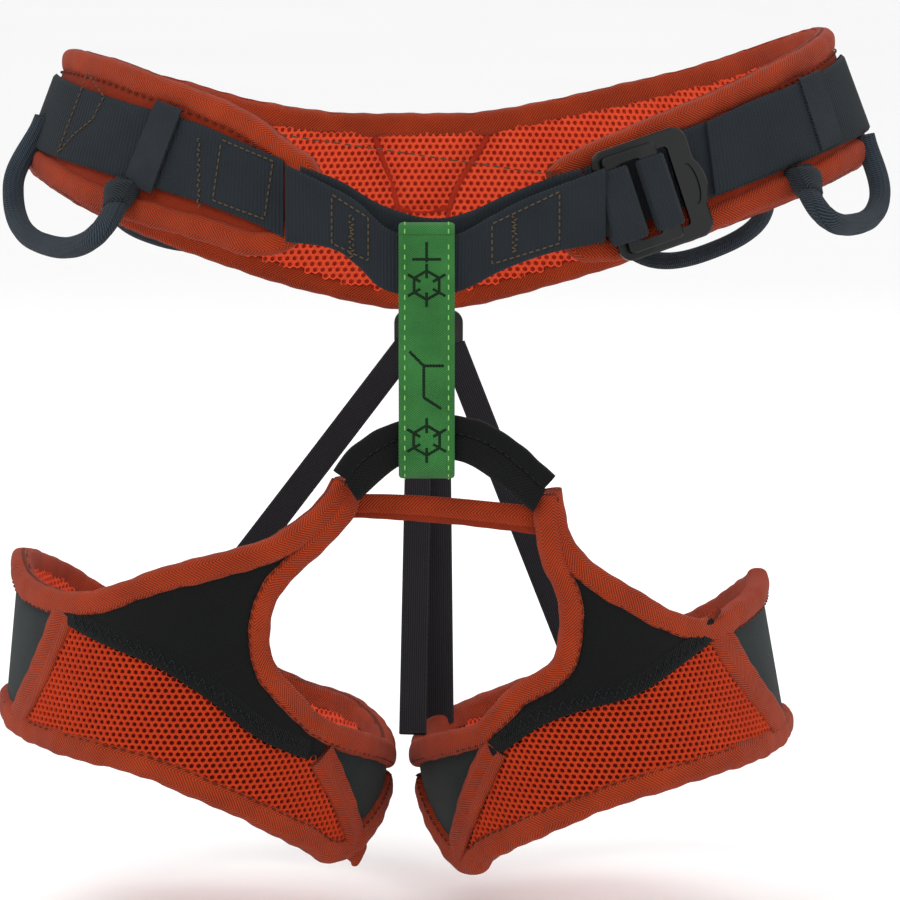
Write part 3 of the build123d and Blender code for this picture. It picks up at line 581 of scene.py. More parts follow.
def net(name, wall, ring, tree, pitch, material, outside, lift=0.75, edges=(), inset=0.0):
    """Open hexagonal net laid over a pad inside an unrolled outline, at least inset from each edge line."""
    cells = hex_grid(ring.min(0) - pitch, ring.max(0) + pitch, pitch)
    cells = cells[inside(cells, ring)]
    for line in edges:
        cells = cells[distance(cells, line) > inset]
    off = offset_on(tree, wall, cells, outside)
    sign = 1.0 if outside else -1.0
    turn = np.radians(np.arange(6) * 60 + 30)
    corner = np.stack([np.cos(turn), np.sin(turn)], 1) * pitch / math.sqrt(3)
    outer = (cells[:, None] + corner[None]).reshape(-1, 2)
    keys, which = np.unique(np.round(outer, 2), axis=0, return_inverse=True)
    which = which.reshape(-1)
    weight = np.bincount(which, minlength=len(keys))
    outer_off = np.bincount(which, weights=np.repeat(off, 6), minlength=len(keys)) / weight
    layers = [(keys, outer_off + sign * lift)]
    for size, height in ((0.66, lift * 0.85), (0.56, lift * 0.1)):
        rim = (cells[:, None] + corner[None] * size).reshape(-1, 2)
        layers.append((rim, np.repeat(off, 6) + sign * height))
    points = np.vstack([wall.place(flat, o) for flat, o in layers])
    uv = np.vstack([flat for flat, _ in layers]) * MM
    first, count = len(keys), len(cells)
    cell = np.arange(count)[:, None] * 6
    j, k = np.arange(6), (np.arange(6) + 1) % 6
    rim_a, rim_b = which[cell + j], which[cell + k]
    mid_a, mid_b = first + cell + j, first + cell + k
    deep_a, deep_b = mid_a + count * 6, mid_b + count * 6
    faces = np.concatenate([np.stack([rim_a, rim_b, mid_b, mid_a], -1).reshape(-1, 4),
                            np.stack([mid_a, mid_b, deep_b, deep_a], -1).reshape(-1, 4)])
    if not outside:
        faces = faces[:, ::-1]
    return new_mesh(name, points, faces, material, uv)


def panel(name, wall, ring, tree, material, lift, step=3.0, puff=0.0):
    """Thin panel laid over a pad inside an unrolled outline."""
    flat, triangles = triangulate(ring, step)
    off = offset_on(tree, wall, flat, True)
    rise = puff * np.clip(distance(flat, ring, True) / 8, 0, 1)
    points = wall.place(flat, off + lift + rise)
    made = new_mesh(name, points, triangles, material, flat * MM)
    return subdivide(made)


def binding(name, wall, line, middle, width=BINDING_WIDTH, closed=False, wrinkle=0.05):
    """Folded edge tape along an unrolled line. middle is its offset from the wall, or one for each point."""
    section = rounded(width, BINDING_HEIGHT)
    return sweep(name, wall.place(line, middle), wall.out(line), section, RUST, closed, wrinkle)


def aside_line(line, shift, closed=False):
    """An unrolled line moved sideways, to its left for a positive shift."""
    ahead = (np.roll(line, -1, 0) - np.roll(line, 1, 0)) if closed else np.gradient(line, axis=0)
    ahead = unit(ahead)
    return line + np.stack([-ahead[:, 1], ahead[:, 0]], 1) * shift


def ride_all(body, *pieces):
    for piece in pieces:
        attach(piece, body)


# ---- waist belt ------------------------------------------------------------------------------
BELT_TOP_RIGHT = [(34, 28), (38, 32), (52, 39), (87, 52), (124, 67), (160, 73)]
BELT_TOP_LEFT = [(-46, 18), (-49, 31), (-57, 37), (-71, 47), (-89, 54.6), (-107, 60), (-126, 65), (-160, 65)]
BELT_BOTTOM_LEFT = [(-160, 22), (-132, 13.5), (-115, 9), (-88, 3), (-73, -1), (-58, 2)]
BELT_BOTTOM_RIGHT = [(41, 1), (51, -2.5), (65.5, -1.5), (86, 4), (103, 10), (125, 17.5), (160, 26)]
BACK_TOP = [(126, 68.5), (91, 55), (55, 45.5), (18, 37.5), (-8, 36), (-45, 36.8), (-75, 42), (-111, 53)]
BACK_BOTTOM = [(-121, -6), (-83, -22), (-50, -32.5), (-22, -38), (1, -38), (33, -30.5), (63, -21), (109, -3)]
LUMBAR_SEAMS = (
    [(-31.5, 31.5), (-29.5, 26), (-21.5, 0.5), (-24, -30)],
    [(14.5, 31.5), (12.5, 26), (-1, 1), (2, -30)],
    [(-21.5, 0.5), (-11, -1), (-1, 1)],
)
BELT_LOW, BELT_HIGH = -1.0, 4.8
BELT_MIDDLE = 2.3

full_turn = 2 * np.interp(180, WAIST.angles, WAIST.run)


def belt_line(points, part):
    """Unrolled belt points of the right front, the back or the left front."""
    if part == "back":
        return WAIST.back(points)
    return WAIST.front(points) + ((full_turn, 0) if part == "left" else (0, 0))


belt_ring = smooth(np.vstack([
    belt_line(BELT_TOP_RIGHT, "right"), belt_line(BACK_TOP, "back"), belt_line(BELT_TOP_LEFT[::-1], "left"),
    belt_line(BELT_BOTTOM_LEFT[::-1], "left"), belt_line(BACK_BOTTOM, "back"),
    belt_line(BELT_BOTTOM_RIGHT[::-1], "right")]), 3.0, closed=True)
quarter = full_turn / 4
belt_seams = [smooth(belt_line(seam, "back"), 2.0) for seam in LUMBAR_SEAMS]
belt_rim = np.vstack([belt_ring, belt_ring[:1]])
belt_pad = pad("belt_pad", WAIST, belt_ring, [belt_rim], BELT_LOW, BELT_HIGH, belt_seams,
               [BRIGHT, RUST_CLOTH, SLATE],
               lambda p: 2 if quarter * 1.03 < p[0] < quarter * 2.97 else 1)
belt_tree = tree_of(belt_pad)
subdivide(belt_pad)
# the ring runs anticlockwise in unrolled coordinates only if its area is positive
area = np.sum(belt_ring[:, 0] * np.roll(belt_ring[:, 1], -1) - np.roll(belt_ring[:, 0], -1) * belt_ring[:, 1])
inward = 1.0 if area > 0 else -1.0
belt_edge = even(aside_line(belt_ring, inward * BINDING_WIDTH * 0.45, True), 2.0, True)
belt_net = net("belt_spacer_net", WAIST, belt_ring, belt_tree, 2.7, NET, False, edges=[belt_rim], inset=6.5)
belt_binding = binding("belt_edge_binding", WAIST, belt_edge, BELT_MIDDLE, closed=True)
stitch_line = aside_line(belt_edge, inward * 3.4, True)
binding_row = on_wall(WAIST, stitch_line, BELT_MIDDLE + 3.0)
belt_stitches = stitches("belt_binding_stitches", [binding_row], RUST_THREAD)
quilt = aside_line(belt_ring, inward * 13.0, True)
quilt = quilt[(quilt[:, 0] > quarter * 1.45) & (quilt[:, 0] < quarter * 2.55)]
quilt_rows = [on_wall(WAIST, part, offset_on(belt_tree, WAIST, part, True) + 0.1)
              for part in (quilt[quilt[:, 1] > 5], quilt[quilt[:, 1] < 5])]
belt_quilting = stitches("belt_back_stitches", quilt_rows, THREAD, 2.6, 1.4, 0.34)
seam_ropes = [sweep(f"belt_lumbar_seam_{k + 1}", WAIST.place(s, offset_on(belt_tree, WAIST, s, False) - 0.6),
                    WAIST.out(s), rounded(2.2, 1.4, 2.0, 12), BRIGHT) for k, s in enumerate(belt_seams)]
ride_all("waist", belt_pad, belt_net, belt_binding, belt_stitches, belt_quilting, *seam_ropes)
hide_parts("waist_foam", "waist_shell")
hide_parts("waist_lining")
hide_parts("waist_binding")

# ---- webbing on the belt ---------------------------------------------------------------------
WEB_OFF = 6.9
HIP_LEFT_TOP = [(-160, 57), (-134, 55), (-96, 46), (-77, 39.5), (-59, 32.4)]
HIP_LEFT_BOTTOM = [(-160, 32), (-134, 28), (-96, 19), (-71, 11), (-59, 5.6)]
HIP_RIGHT_TOP = [(46, 30), (83, 43), (129, 59), (160, 64)]
HIP_RIGHT_BOTTOM = [(46, 4), (86, 17), (135, 33), (160, 37)]
TIE_IN_TOP = [(-58, 32), (-45, 26), (-33, 19.5), (-22, 10), (-9, 7.6), (2, 8.6), (14, 15), (27, 21.5),
              (53, 31)]
TIE_IN_BOTTOM = [(-58, 5), (-42, 3), (-33, -3), (-24, -11), (-9, -13.5), (4, -11), (18, -4), (34, 1.5),
                 (53, 5)]
REAR_TOP = [(-53, 31), (-39, 26), (-25, 18), (-9, 13.4), (4, 15), (20, 22), (36, 28), (45, 30.5)]
REAR_BOTTOM = [(-53, 6), (-39, 1), (-25, -6), (-9, -10.5), (4, -9), (20, -2), (36, 4), (45, 7)]
TAIL_TOP = [(89, 45), (105, 51.5), (122, 57)]
TAIL_BOTTOM = [(92, 19.5), (113, 27), (130, 32.5)]
KEEPER_RIGHT = ([(122.5, 58.5), (130.5, 61)], [(131, 33), (139, 36)])
KEEPER_LEFT = ([(-104, 52), (-95, 49)], [(-116, 23), (-106, 19.5)])

hip_left = wall_ribbon("hip_webbing_left_ribbed", WAIST, HIP_LEFT_TOP, HIP_LEFT_BOTTOM, WEB_OFF, 1.4, GREY,
                       past=(-62, -13))
hip_right = wall_ribbon("hip_webbing_right_ribbed", WAIST, HIP_RIGHT_TOP, HIP_RIGHT_BOTTOM, WEB_OFF, 1.4,
                        GREY, past=(58, -14))
tie_in = wall_ribbon("tie_in_loop_ribbed", TIE_IN, TIE_IN_TOP, TIE_IN_BOTTOM, 0.9, 1.9, GREY, pitch=1.35)
rear_layer = wall_ribbon("waist_strap_ribbed", REAR_STRAP, REAR_TOP, REAR_BOTTOM, 0.8, 1.6, GREY)
tail = wall_ribbon("strap_tail_ribbed", WAIST, TAIL_TOP, TAIL_BOTTOM, 9.0, 1.5, GREY)
keeper_right = wall_ribbon("strap_keeper_right_twill", WAIST, *KEEPER_RIGHT, 10.4, 1.2, GREY_TWILL, rib=0.0)
keeper_left = wall_ribbon("strap_keeper_left_woven", WAIST, *KEEPER_LEFT, 9.0, 1.6, GREY_FINE, rib=0.08,
                          bow=0.5)
for piece, node in ((hip_left, "hip_webbing_left"), (hip_right, "hip_webbing_right"), (tie_in, "tie_in_loop"),
                    (rear_layer, "waist_strap"), (tail, "strap_tail"), (keeper_right, "strap_keeper_right"),
                    (keeper_left, "strap_keeper_left")):
    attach(piece, "waist")
    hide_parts(node)

# ---- buckle ----------------------------------------------------------------------------------
BUCKLE_OUT = unit((0.267, -0.95, 0.12))
BUCKLE_TILT = math.radians(17.0)
BUCKLE_X, BUCKLE_Z, BUCKLE_GROWTH = 68.5, 20.5, 11.2
TURN_HALF = 13.0
TURN_THICKNESS = 1.4

level_right = unit(np.cross((0, 0, 1), BUCKLE_OUT))
level_up = np.cross(BUCKLE_OUT, level_right)
buckle_right = level_right * math.cos(BUCKLE_TILT) + level_up * math.sin(BUCKLE_TILT)
buckle_up = np.cross(BUCKLE_OUT, buckle_right)
buckle_origin = WAIST.place(WAIST.front([(BUCKLE_X, BUCKLE_Z)], BUCKLE_GROWTH), BUCKLE_GROWTH)[0]


def buckle_point(u, v, w):
    return buckle_origin + buckle_right * u + buckle_up * v + BUCKLE_OUT * w


def bar_turn(name, left, right, back, front, body, node):
    """Ribbed webbing turned round a bar, given the clear space inside it."""
    grow, corner = TURN_THICKNESS / 2, 1.2
    line = []
    corners = (((right, front), 0), ((left, front), 90), ((left, back), 180), ((right, back), 270))
    for (u, w), start in corners:
        for turn in np.radians(np.linspace(start, start + 90, 5)):
            centre_u = u + corner * (1 if u == left else -1)
            centre_w = w + corner * (1 if w == back else -1)
            reach = corner + grow
            line.append((centre_u + reach * math.cos(turn), centre_w + reach * math.sin(turn)))
    line = even(np.array(line), 0.4, True)
    line = np.vstack([line, line[:1]])
    out = unit(np.stack([np.gradient(line[:, 1]), -np.gradient(line[:, 0])], 1))
    upper = np.array([buckle_point(u, TURN_HALF, w) for u, w in line])
    lower = np.array([buckle_point(u, -TURN_HALF, w) for u, w in line])
    direction = out[:, :1] * buckle_right + out[:, 1:] * BUCKLE_OUT
    made = ribbon(name, upper, lower, direction, TURN_THICKNESS, GREY, rib=0.2)
    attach(made, body)
    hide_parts(node)
    return made


anchor_turn = bar_turn("buckle_anchor_ribbed", -17.4, -7.1, -0.4, 5.8, "waist", "buckle_anchor_webbing")
strap_turn = bar_turn("buckle_strap_turn_ribbed", -0.9, 6.9, 2.7, 5.5, "buckle_release", "buckle_strap_turn")

# ---- belay loop ------------------------------------------------------------------------------
BELAY_X, BELAY_WIDTH, BELAY_TOP, BELAY_BOTTOM, BELAY_Y = -9.0, 19.5, 12.5, -77.0, -105.4
BELAY_GAPS = (4.2, 8.4)          # clear space between its legs, at the top and at the bottom
BELAY_THICKNESS = 2.0


def belay_line():
    """Closed side view, as (outward, z), of the middle of the band."""
    top, low = BELAY_GAPS[0] / 2 + BELAY_THICKNESS / 2, BELAY_GAPS[1] / 2 + BELAY_THICKNESS / 2
    top_z = BELAY_TOP - BELAY_THICKNESS / 2 - top
    low_z = BELAY_BOTTOM + BELAY_THICKNESS / 2 + low
    line = [(top * math.cos(a), top_z + top * math.sin(a)) for a in np.linspace(0, math.pi, 13)]
    line += [(-low * math.cos(a), low_z - low * math.sin(a)) for a in np.linspace(0, math.pi, 17)]
    return even(np.array(line), 0.8, True)


side_line = belay_line()
side_line = np.vstack([side_line, side_line[:1]])
side_out = unit(np.stack([np.gradient(side_line[:, 1]), -np.gradient(side_line[:, 0])], 1))


def belay_place(x, shift=0.0):
    line = side_line + side_out * shift
    return np.stack([np.full(len(line), x), BELAY_Y - line[:, 0], line[:, 1]], 1)


belay_direction = np.stack([0 * side_out[:, 0], -side_out[:, 0], side_out[:, 1]], 1)
belay_sides = [belay_place(BELAY_X + half) for half in (-BELAY_WIDTH / 2, BELAY_WIDTH / 2)]
belay = ribbon("belay_loop_woven", *belay_sides, belay_direction, BELAY_THICKNESS, GREEN, rib=0.06, pitch=1.1,
               columns=19)
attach(belay, "belay_loop")
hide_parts("belay_loop")
edge_rows = [(belay_place(BELAY_X + shift, BELAY_THICKNESS / 2 + 0.05), belay_direction)
             for shift in (-7.6, 7.6)]
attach(stitches("belay_edge_stitches", edge_rows, GREEN_THREAD, 1.9, 1.6, 0.26), "belay_loop")


def front_line(points):
    """Path on the front face of the belay loop, from (x beside its middle, z) points."""
    flat = even(np.array(points, float), 0.6)
    gap = np.interp(flat[:, 1], (BELAY_BOTTOM + 6, BELAY_TOP - 4), BELAY_GAPS[::-1])
    half = gap / 2 + BELAY_THICKNESS
    path = np.stack([BELAY_X + flat[:, 0], BELAY_Y - half - 0.02, flat[:, 1]], 1)
    return path, np.tile((0.0, -1.0, 0.0), (len(path), 1))


def marks(centre, size):
    """Plain geometric lines: a hexagon with spokes."""
    turns = [math.radians(60 * k) for k in range(7)]
    corners = [(size * math.sin(a), centre + size * math.cos(a)) for a in turns]
    spokes = [[(share * x, centre + share * (z - centre)) for share in (0.5, 1.5)] for x, z in corners[:6]]
    return [corners] + spokes


mark_lines = marks(-9, 5.0) + marks(-63, 5.2) + [
    [(-6, -32), (-1, -37), (6, -37)], [(-1, -37), (-1, -48), (5, -52)], [(0, 6), (0, -1)], [(-5, 0), (5, 0)]]
ink = []
for k, line in enumerate(mark_lines):
    path, out = front_line(line)
    ink.append(sweep(f"belay_line_{k + 1}", path, out, rounded(1.0, 0.24, 2.0, 8), INK))
ride_all("belay_loop", *ink)

# ---- leg loops -------------------------------------------------------------------------------
LEG_LOW, LEG_HIGH = -1.0, 3.4
LEG_MIDDLE = 2.3
LEG_SHAPES = {
    "left": {
        "top": [(-185, -112), (-152, -118), (-131, -119), (-103, -108.5), (-86, -104), (-72, -100.5),
                (-62, -97.5), (-52, -92), (-44, -86), (-38.5, -78)],
        "hole": [(-31.5, -78), (-33, -88), (-41, -99), (-53, -110), (-60, -118), (-63, -129), (-61, -143),
                 (-50, -157.5), (-44, -164), (-33, -171), (-12, -184)],
        "bottom": [(-185, -171), (-157, -174.5), (-116, -181), (-84, -193), (-54, -209.5), (-38, -218.5),
                   (-12, -203)],
        "back_top": [(-185, -112), (-148, -121), (-120, -141), (-61, -168), (-33, -174.5), (-12, -184)],
        "back_bottom": [(-185, -171), (-158, -176), (-138, -184), (-90, -204), (-40, -210), (-12, -203)],
        "hem": [(-141, -128), (-127, -134), (-105, -142), (-87, -153), (-69, -168), (-55, -176), (-46, -180)],
        "mesh_left": [(-133, -124), (-137, -133), (-146, -153), (-157, -174)],
        "mesh_right": [(-50, -176), (-46, -184), (-40, -198), (-33, -224)],
        "body": "left_leg",
    },
    "right": {
        "top": [(150, -121), (113, -122), (104, -127), (91, -131), (77, -126), (66, -119), (56, -113),
                (46, -105), (40.5, -96), (38, -82)],
        "hole": [(28.5, -82), (28.5, -93), (31, -107), (37, -122), (36, -139), (31, -146), (20, -153),
                 (10, -164.5), (2, -171), (-26, -186)],
        "bottom": [(150, -181), (119, -183), (100, -185.5), (67, -192.5), (38, -204), (14, -217.5), (2, -226),
                   (-26, -206)],
        "back_top": [(150, -121), (108, -131), (89, -147), (50, -165), (22, -174), (2, -179), (-26, -186)],
        "back_bottom": [(150, -181), (118, -184), (103, -189), (70, -203), (20, -212), (-26, -206)],
        "hem": [(98, -134), (82, -145), (65, -155), (47, -160), (32, -166), (19, -176), (12, -181)],
        "mesh_left": [(19, -174), (15, -183), (8, -200), (1, -226)],
        "mesh_right": [(88, -129), (93, -138), (105, -157), (121, -182)],
        "body": "right_leg",
    },
}


def leg_loop(side_name, shape):
    wall = LEGS[side_name]
    left = side_name == "left"
    body = shape["body"]

    def front(key):
        return wall.front(shape[key])

    def back(key):
        return wall.back(shape[key], -1.0 if left else 1.0)

    upper = smooth(np.vstack([back("back_top")[::-1], front("top")[1:]]), 2.0)
    crotch = smooth(front("hole"), 2.0)
    lower = smooth(np.vstack([front("bottom")[::-1], back("back_bottom")[1:]]), 2.0)
    ring = np.vstack([upper, crotch, lower])
    cut = even([crotch[-1], lower[0]], 3.0)
    far_cut = even([lower[-1], upper[0]], 3.0)
    ring = np.vstack([even(upper, 3.0), even(crotch, 3.0), cut[1:-1], even(lower, 3.0), far_cut[1:-1]])
    made = pad(f"leg_{side_name}_pad", wall, ring, [upper, crotch, lower], LEG_LOW, LEG_HIGH, [],
               [BRIGHT, SIDE, LEG_BACKING], lambda p: 1)
    tree = tree_of(made)
    subdivide(made)
    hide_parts(f"leg_{side_name}_foam", f"leg_{side_name}_shell")
    lining = net(f"leg_{side_name}_lining_net", wall, ring, tree, 2.6, NET, False, 0.6,
                 [upper, crotch, lower], 6.0)
    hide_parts(f"leg_{side_name}_lining")

    sign = 1.0 if left else -1.0
    edge = BINDING_WIDTH * 0.45
    upper_edge = aside_line(upper, -sign * edge)
    crotch_edge = aside_line(crotch, -sign * edge)
    lower_edge = aside_line(lower, -sign * edge)
    rise = np.interp(np.arange(len(crotch_edge)), (0, 8, 26), (0.5, 1.6, 0.0))
    pieces = [
        binding(f"leg_{side_name}_upper_binding", wall, upper_edge, LEG_MIDDLE),
        binding(f"leg_{side_name}_crotch_binding", wall, crotch_edge, LEG_MIDDLE + rise),
        binding(f"leg_{side_name}_lower_binding", wall, lower_edge, LEG_MIDDLE, width=9.6, wrinkle=0.07),
    ]
    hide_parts(f"leg_{side_name}_edge_binding")
    rows = [on_wall(wall, aside_line(line, -sign * 3.4), LEG_MIDDLE + 3.0)
            for line in (upper_edge, lower_edge)]
    rows.append(on_wall(wall, aside_line(crotch_edge, -sign * 3.4), LEG_MIDDLE + 3.4))
    pieces.append(stitches(f"leg_{side_name}_binding_stitches", rows, RUST_THREAD))

    hem, mesh_left, mesh_right = (smooth(front(key), 2.0) for key in ("hem", "mesh_left", "mesh_right"))
    front_bottom = smooth(front("bottom"), 2.0)
    order = np.argsort(hem[:, 0])
    hem = hem[order]
    front_bottom = front_bottom[np.argsort(front_bottom[:, 0])]
    keep = (front_bottom[:, 0] > mesh_left[-1, 0]) & (front_bottom[:, 0] < mesh_right[-1, 0])
    mesh_ring = np.vstack([hem, mesh_right[1:], front_bottom[keep][::-1], mesh_left[::-1][:-1]])
    backing = panel(f"leg_{side_name}_mesh_backing", wall, even(mesh_ring, 2.5, True), tree, LEG_BACKING,
                    SLICK)
    mesh = net(f"leg_{side_name}_mesh_net", wall, mesh_ring, tree, 2.4, LEG_NET, True, 1.5,
               [upper, crotch, lower], 4.5)
    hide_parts(f"leg_{side_name}_mesh_panel")
    pieces += [backing, mesh]

    top_edge = upper_edge[len(upper_edge) - len(smooth(front("top")[1:], 2.0)):]
    top_edge = top_edge[(top_edge[:, 0] - (hem[0, 0] if left else hem[-1, 0])) * sign > 0]
    crotch_part = crotch_edge[distance(crotch_edge, hem) > 3.0]
    crotch_part = crotch_part[:np.argmin(distance(crotch_part, hem)) + 1]
    around = hem[::-1] if left else hem
    stretch_ring = np.vstack([top_edge, crotch_part, around])
    stretch = panel(f"leg_{side_name}_stretch_fabric", wall, even(stretch_ring, 2.5, True), tree, BLACK,
                    SLICK + 1.0, puff=0.8)
    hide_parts(f"leg_{side_name}_stretch_panel")
    pieces.append(stretch)
    hem_off = offset_on(tree, wall, hem, True)
    hem_path = wall.place(aside_line(hem, 3.2), hem_off + 1.7)
    hem_band = sweep(f"leg_{side_name}_hem", hem_path[2:-3], wall.out(hem)[2:-3], rounded(7.4, 1.8, 3.5, 20),
                     BLACK_WEAVE)
    pieces.append(hem_band)
    zig = aside_line(hem, 3.2)
    zigzag = zig + np.stack([0 * zig[:, 0], np.where(np.arange(len(zig)) % 2, 2.0, -2.0)], 1)
    zigzag_row = [a[5:-6] for a in on_wall(wall, zigzag, hem_off + 2.7)]
    pieces.append(stitches(f"leg_{side_name}_overlock", [zigzag_row], DARK_THREAD, 1.9, 0.2, 0.3))

    strips = []
    for which, line, move in (("outer", mesh_left if left else mesh_right, -4.4 if left else 4.4),
                              ("inner", mesh_right if left else mesh_left, 4.4 if left else -4.4)):
        moved = line + np.array([move, 0.0])
        moved = moved[1:-3]
        path = wall.place(moved, offset_on(tree, wall, moved, True) + 1.0)
        strips.append(sweep(f"leg_{side_name}_{which}_strip", path, wall.out(moved),
                            rounded(11.5, 3.4, 3.2, 24), RUST, wrinkle=0.05))
    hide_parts(f"leg_{side_name}_panel_binding")
    ride_all(body, made, lining, *pieces, *strips)


for side_name, shape in LEG_SHAPES.items():
    leg_loop(side_name, shape)

# ---- leg bridge ------------------------------------------------------------------------------
BRIDGE_Y = -105.4
BRIDGE_TOP = [(-40, -74), (-36, -67.5), (-29, -62), (-19, -57.5), (-6, -55), (5, -56), (14, -59), (23, -65),
              (35, -76)]
BRIDGE_BOTTOM = [(-33, -85), (-19, -73), (-8, -70.5), (4, -71.5), (16, -79), (28, -89)]


def plane_line(points, y, step=1.0):
    flat = smooth(np.array(points, float), step)
    return np.stack([flat[:, 0], np.full(len(flat), y), flat[:, 1]], 1)


def same_count(a, b, count=80):
    return [between(np.linspace(0, 1, count), np.linspace(0, 1, len(line)), line) for line in (a, b)]


bridge_upper, bridge_lower = same_count(plane_line(BRIDGE_TOP, BRIDGE_Y), plane_line(BRIDGE_BOTTOM, BRIDGE_Y))
split_line = bridge_upper + (bridge_lower - bridge_upper) * 0.36
front_way = np.tile((0.0, -1.0, 0.0), (len(bridge_upper), 1))
roll_line = bridge_upper + (bridge_lower - bridge_upper) * 0.18 + (0, -0.4, 0)
roll = sweep("bridge_sheath_roll", roll_line, front_way, rounded(6.4, 4.6, 2.4, 24), BLACK, wrinkle=0.06)
sleeve = ribbon("bridge_sheath_sleeve", split_line, bridge_lower, front_way, 3.2, BLACK_WEAVE, rib=0.1,
                pitch=1.8, bow=0.5)
core_edges = [split_line + (bridge_lower - split_line) * share for share in (0.4, 0.7)]
core = ribbon("bridge_core", *core_edges, front_way, 1.0, GREY_FINE, rib=0.05)
seam_row = stitches("bridge_seam_stitches", [(split_line + (0, -1.9, 0), front_way)], DARK_THREAD, 2.0, 1.0,
                    0.3)
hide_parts("bridge_sheath")
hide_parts("bridge_webbing")

CROSS_TOP = [(-36, -84), (-20, -84), (0, -85), (34, -88)]
CROSS_BOTTOM = [(-36, -92.5), (-20, -93), (0, -94.4), (34, -98)]


def cross_place(points):
    """Cross strap points: it slants back a little from left to right."""
    flat = smooth(np.array(points, float), 1.0)
    return np.stack([flat[:, 0], np.interp(flat[:, 0], (-40, 35), (-93, -99.5)), flat[:, 1]], 1)


cross_upper, cross_lower = same_count(cross_place(CROSS_TOP), cross_place(CROSS_BOTTOM), 60)
cross_way = np.tile((0.0, -1.0, 0.0), (len(cross_upper), 1))
cross_fold = cross_upper + (cross_lower - cross_upper) * 0.8
cross = ribbon("cross_strap_woven", cross_upper, cross_fold, cross_way, 1.7, RUST, rib=0.0)
cross_edge = sweep("cross_strap_lower_fold", cross_lower + (0, 0.6, 1.4), cross_way,
                   rounded(3.0, 2.6, 2.2, 16), RUST_CLOTH, wrinkle=0.08)
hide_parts("cross_strap")
ride_all("waist", roll, sleeve, core, seam_row, cross, cross_edge)

# ---- elastic risers --------------------------------------------------------------------------
RISERS = {
    "riser_left_outer": ((-17, 104.5, -53), (-96, 47, -151), "left_leg"),
    "riser_left_inner": ((-12, 107, -50), (-14.5, -3, -184), "left_leg"),
    "riser_right_inner": ((-6, 109.2, -50), (-4.5, 22, -184), "right_leg"),
    "riser_right_outer": ((0, 104.5, -53), (46, 62, -166), "right_leg"),
}
RISER_WIDTH = 10.0
for name, (top, bottom, body) in RISERS.items():
    start, end = np.array(top, float), np.array(bottom, float)
    along = unit(end - start)
    aside = unit(np.cross(along, (0, 1, 0)))
    out = unit(np.cross(aside, along))
    share = np.linspace(0, 1, 60)[:, None]
    line = start + (end - start) * share - out * np.sin(share * math.pi) * 1.2
    riser = ribbon(name + "_elastic", line - aside * RISER_WIDTH / 2, line + aside * RISER_WIDTH / 2,
                   np.tile(out, (60, 1)), 1.5, ELASTIC, rib=0.05, pitch=2.4)
    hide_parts(name)
    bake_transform(riser)

# ---- gear loops ------------------------------------------------------------------------------
GEAR_LOOPS = {
    "gear_loop_front_left": ((-115, -89.5, 24), (-153, -18, 42), (28, 42), 12, 3.7, 11),
    "gear_loop_front_right": ((123, -85, 28), (152, -20, 36), (21, 30), 10, 3.7, 11),
    "gear_loop_rear_left": ((-128, 70, 20), (-78, 98, 4), (22, 25), 14, 3.1, 6),
    "gear_loop_rear_right": ((120, 73, 15), (60, 105, -4), (19, 26), 14, 3.1, 6),
}
GROOVES = 14
ROUNDNESS = 2.5
TUCK_REACH = 24.0                # depth over which a loop leans in to the belt
BENDS = 20.0                     # depth below a loop's sewn end of a point that is worked out for each loop and not used
CLEAR = 7.5                      # of a tube end from the belt's inside


def to_belt(point, out):
    """Move that lays one end of a loop against the belt: along y near the front and rear, else along out."""
    if abs(point[1]) > 0.65 * abs(point[0]):
        out = np.array((0.0, math.copysign(1.0, point[1]), 0.0))
    for step in np.arange(0.0, 45.0, 0.5):
        x, y, z = point - out * step
        across, deep = (WAIST.radii[k] + WAIST.flare[k] * z + CLEAR for k in (0, 1))
        if math.hypot(x / across, y / deep) < 1:
            return -out * step
    return np.zeros(3)


def gear_path(start, end, drops, splay):
    """Rounded U between two attachments, hanging down and outwards. Its ends turn in to the belt."""
    start, end = np.array(start, float), np.array(end, float)
    along = unit(end - start)
    out = unit((start + end) * (1, 1, 0))
    down = np.array((0, 0, -1)) * math.cos(math.radians(splay)) + out * math.sin(math.radians(splay))
    down = unit(down - along * (down @ along))
    turn = np.linspace(0, math.pi, 60)
    across = (1 - np.sign(np.cos(turn)) * np.abs(np.cos(turn)) ** (2 / ROUNDNESS)) / 2
    depth = np.interp(across, (0, 1), drops) * np.sin(turn) ** (2 / ROUNDNESS)
    line = start + across[:, None] * (end - start) + depth[:, None] * down
    ease = np.clip(1 - depth / TUCK_REACH, 0, 1)
    ease = ease * ease * (3 - 2 * ease)
    line += ease[:, None] * np.where(across[:, None] > 0.5, to_belt(end, out), to_belt(start, out))
    return even(line, 1.5), np.cross(along, down), down


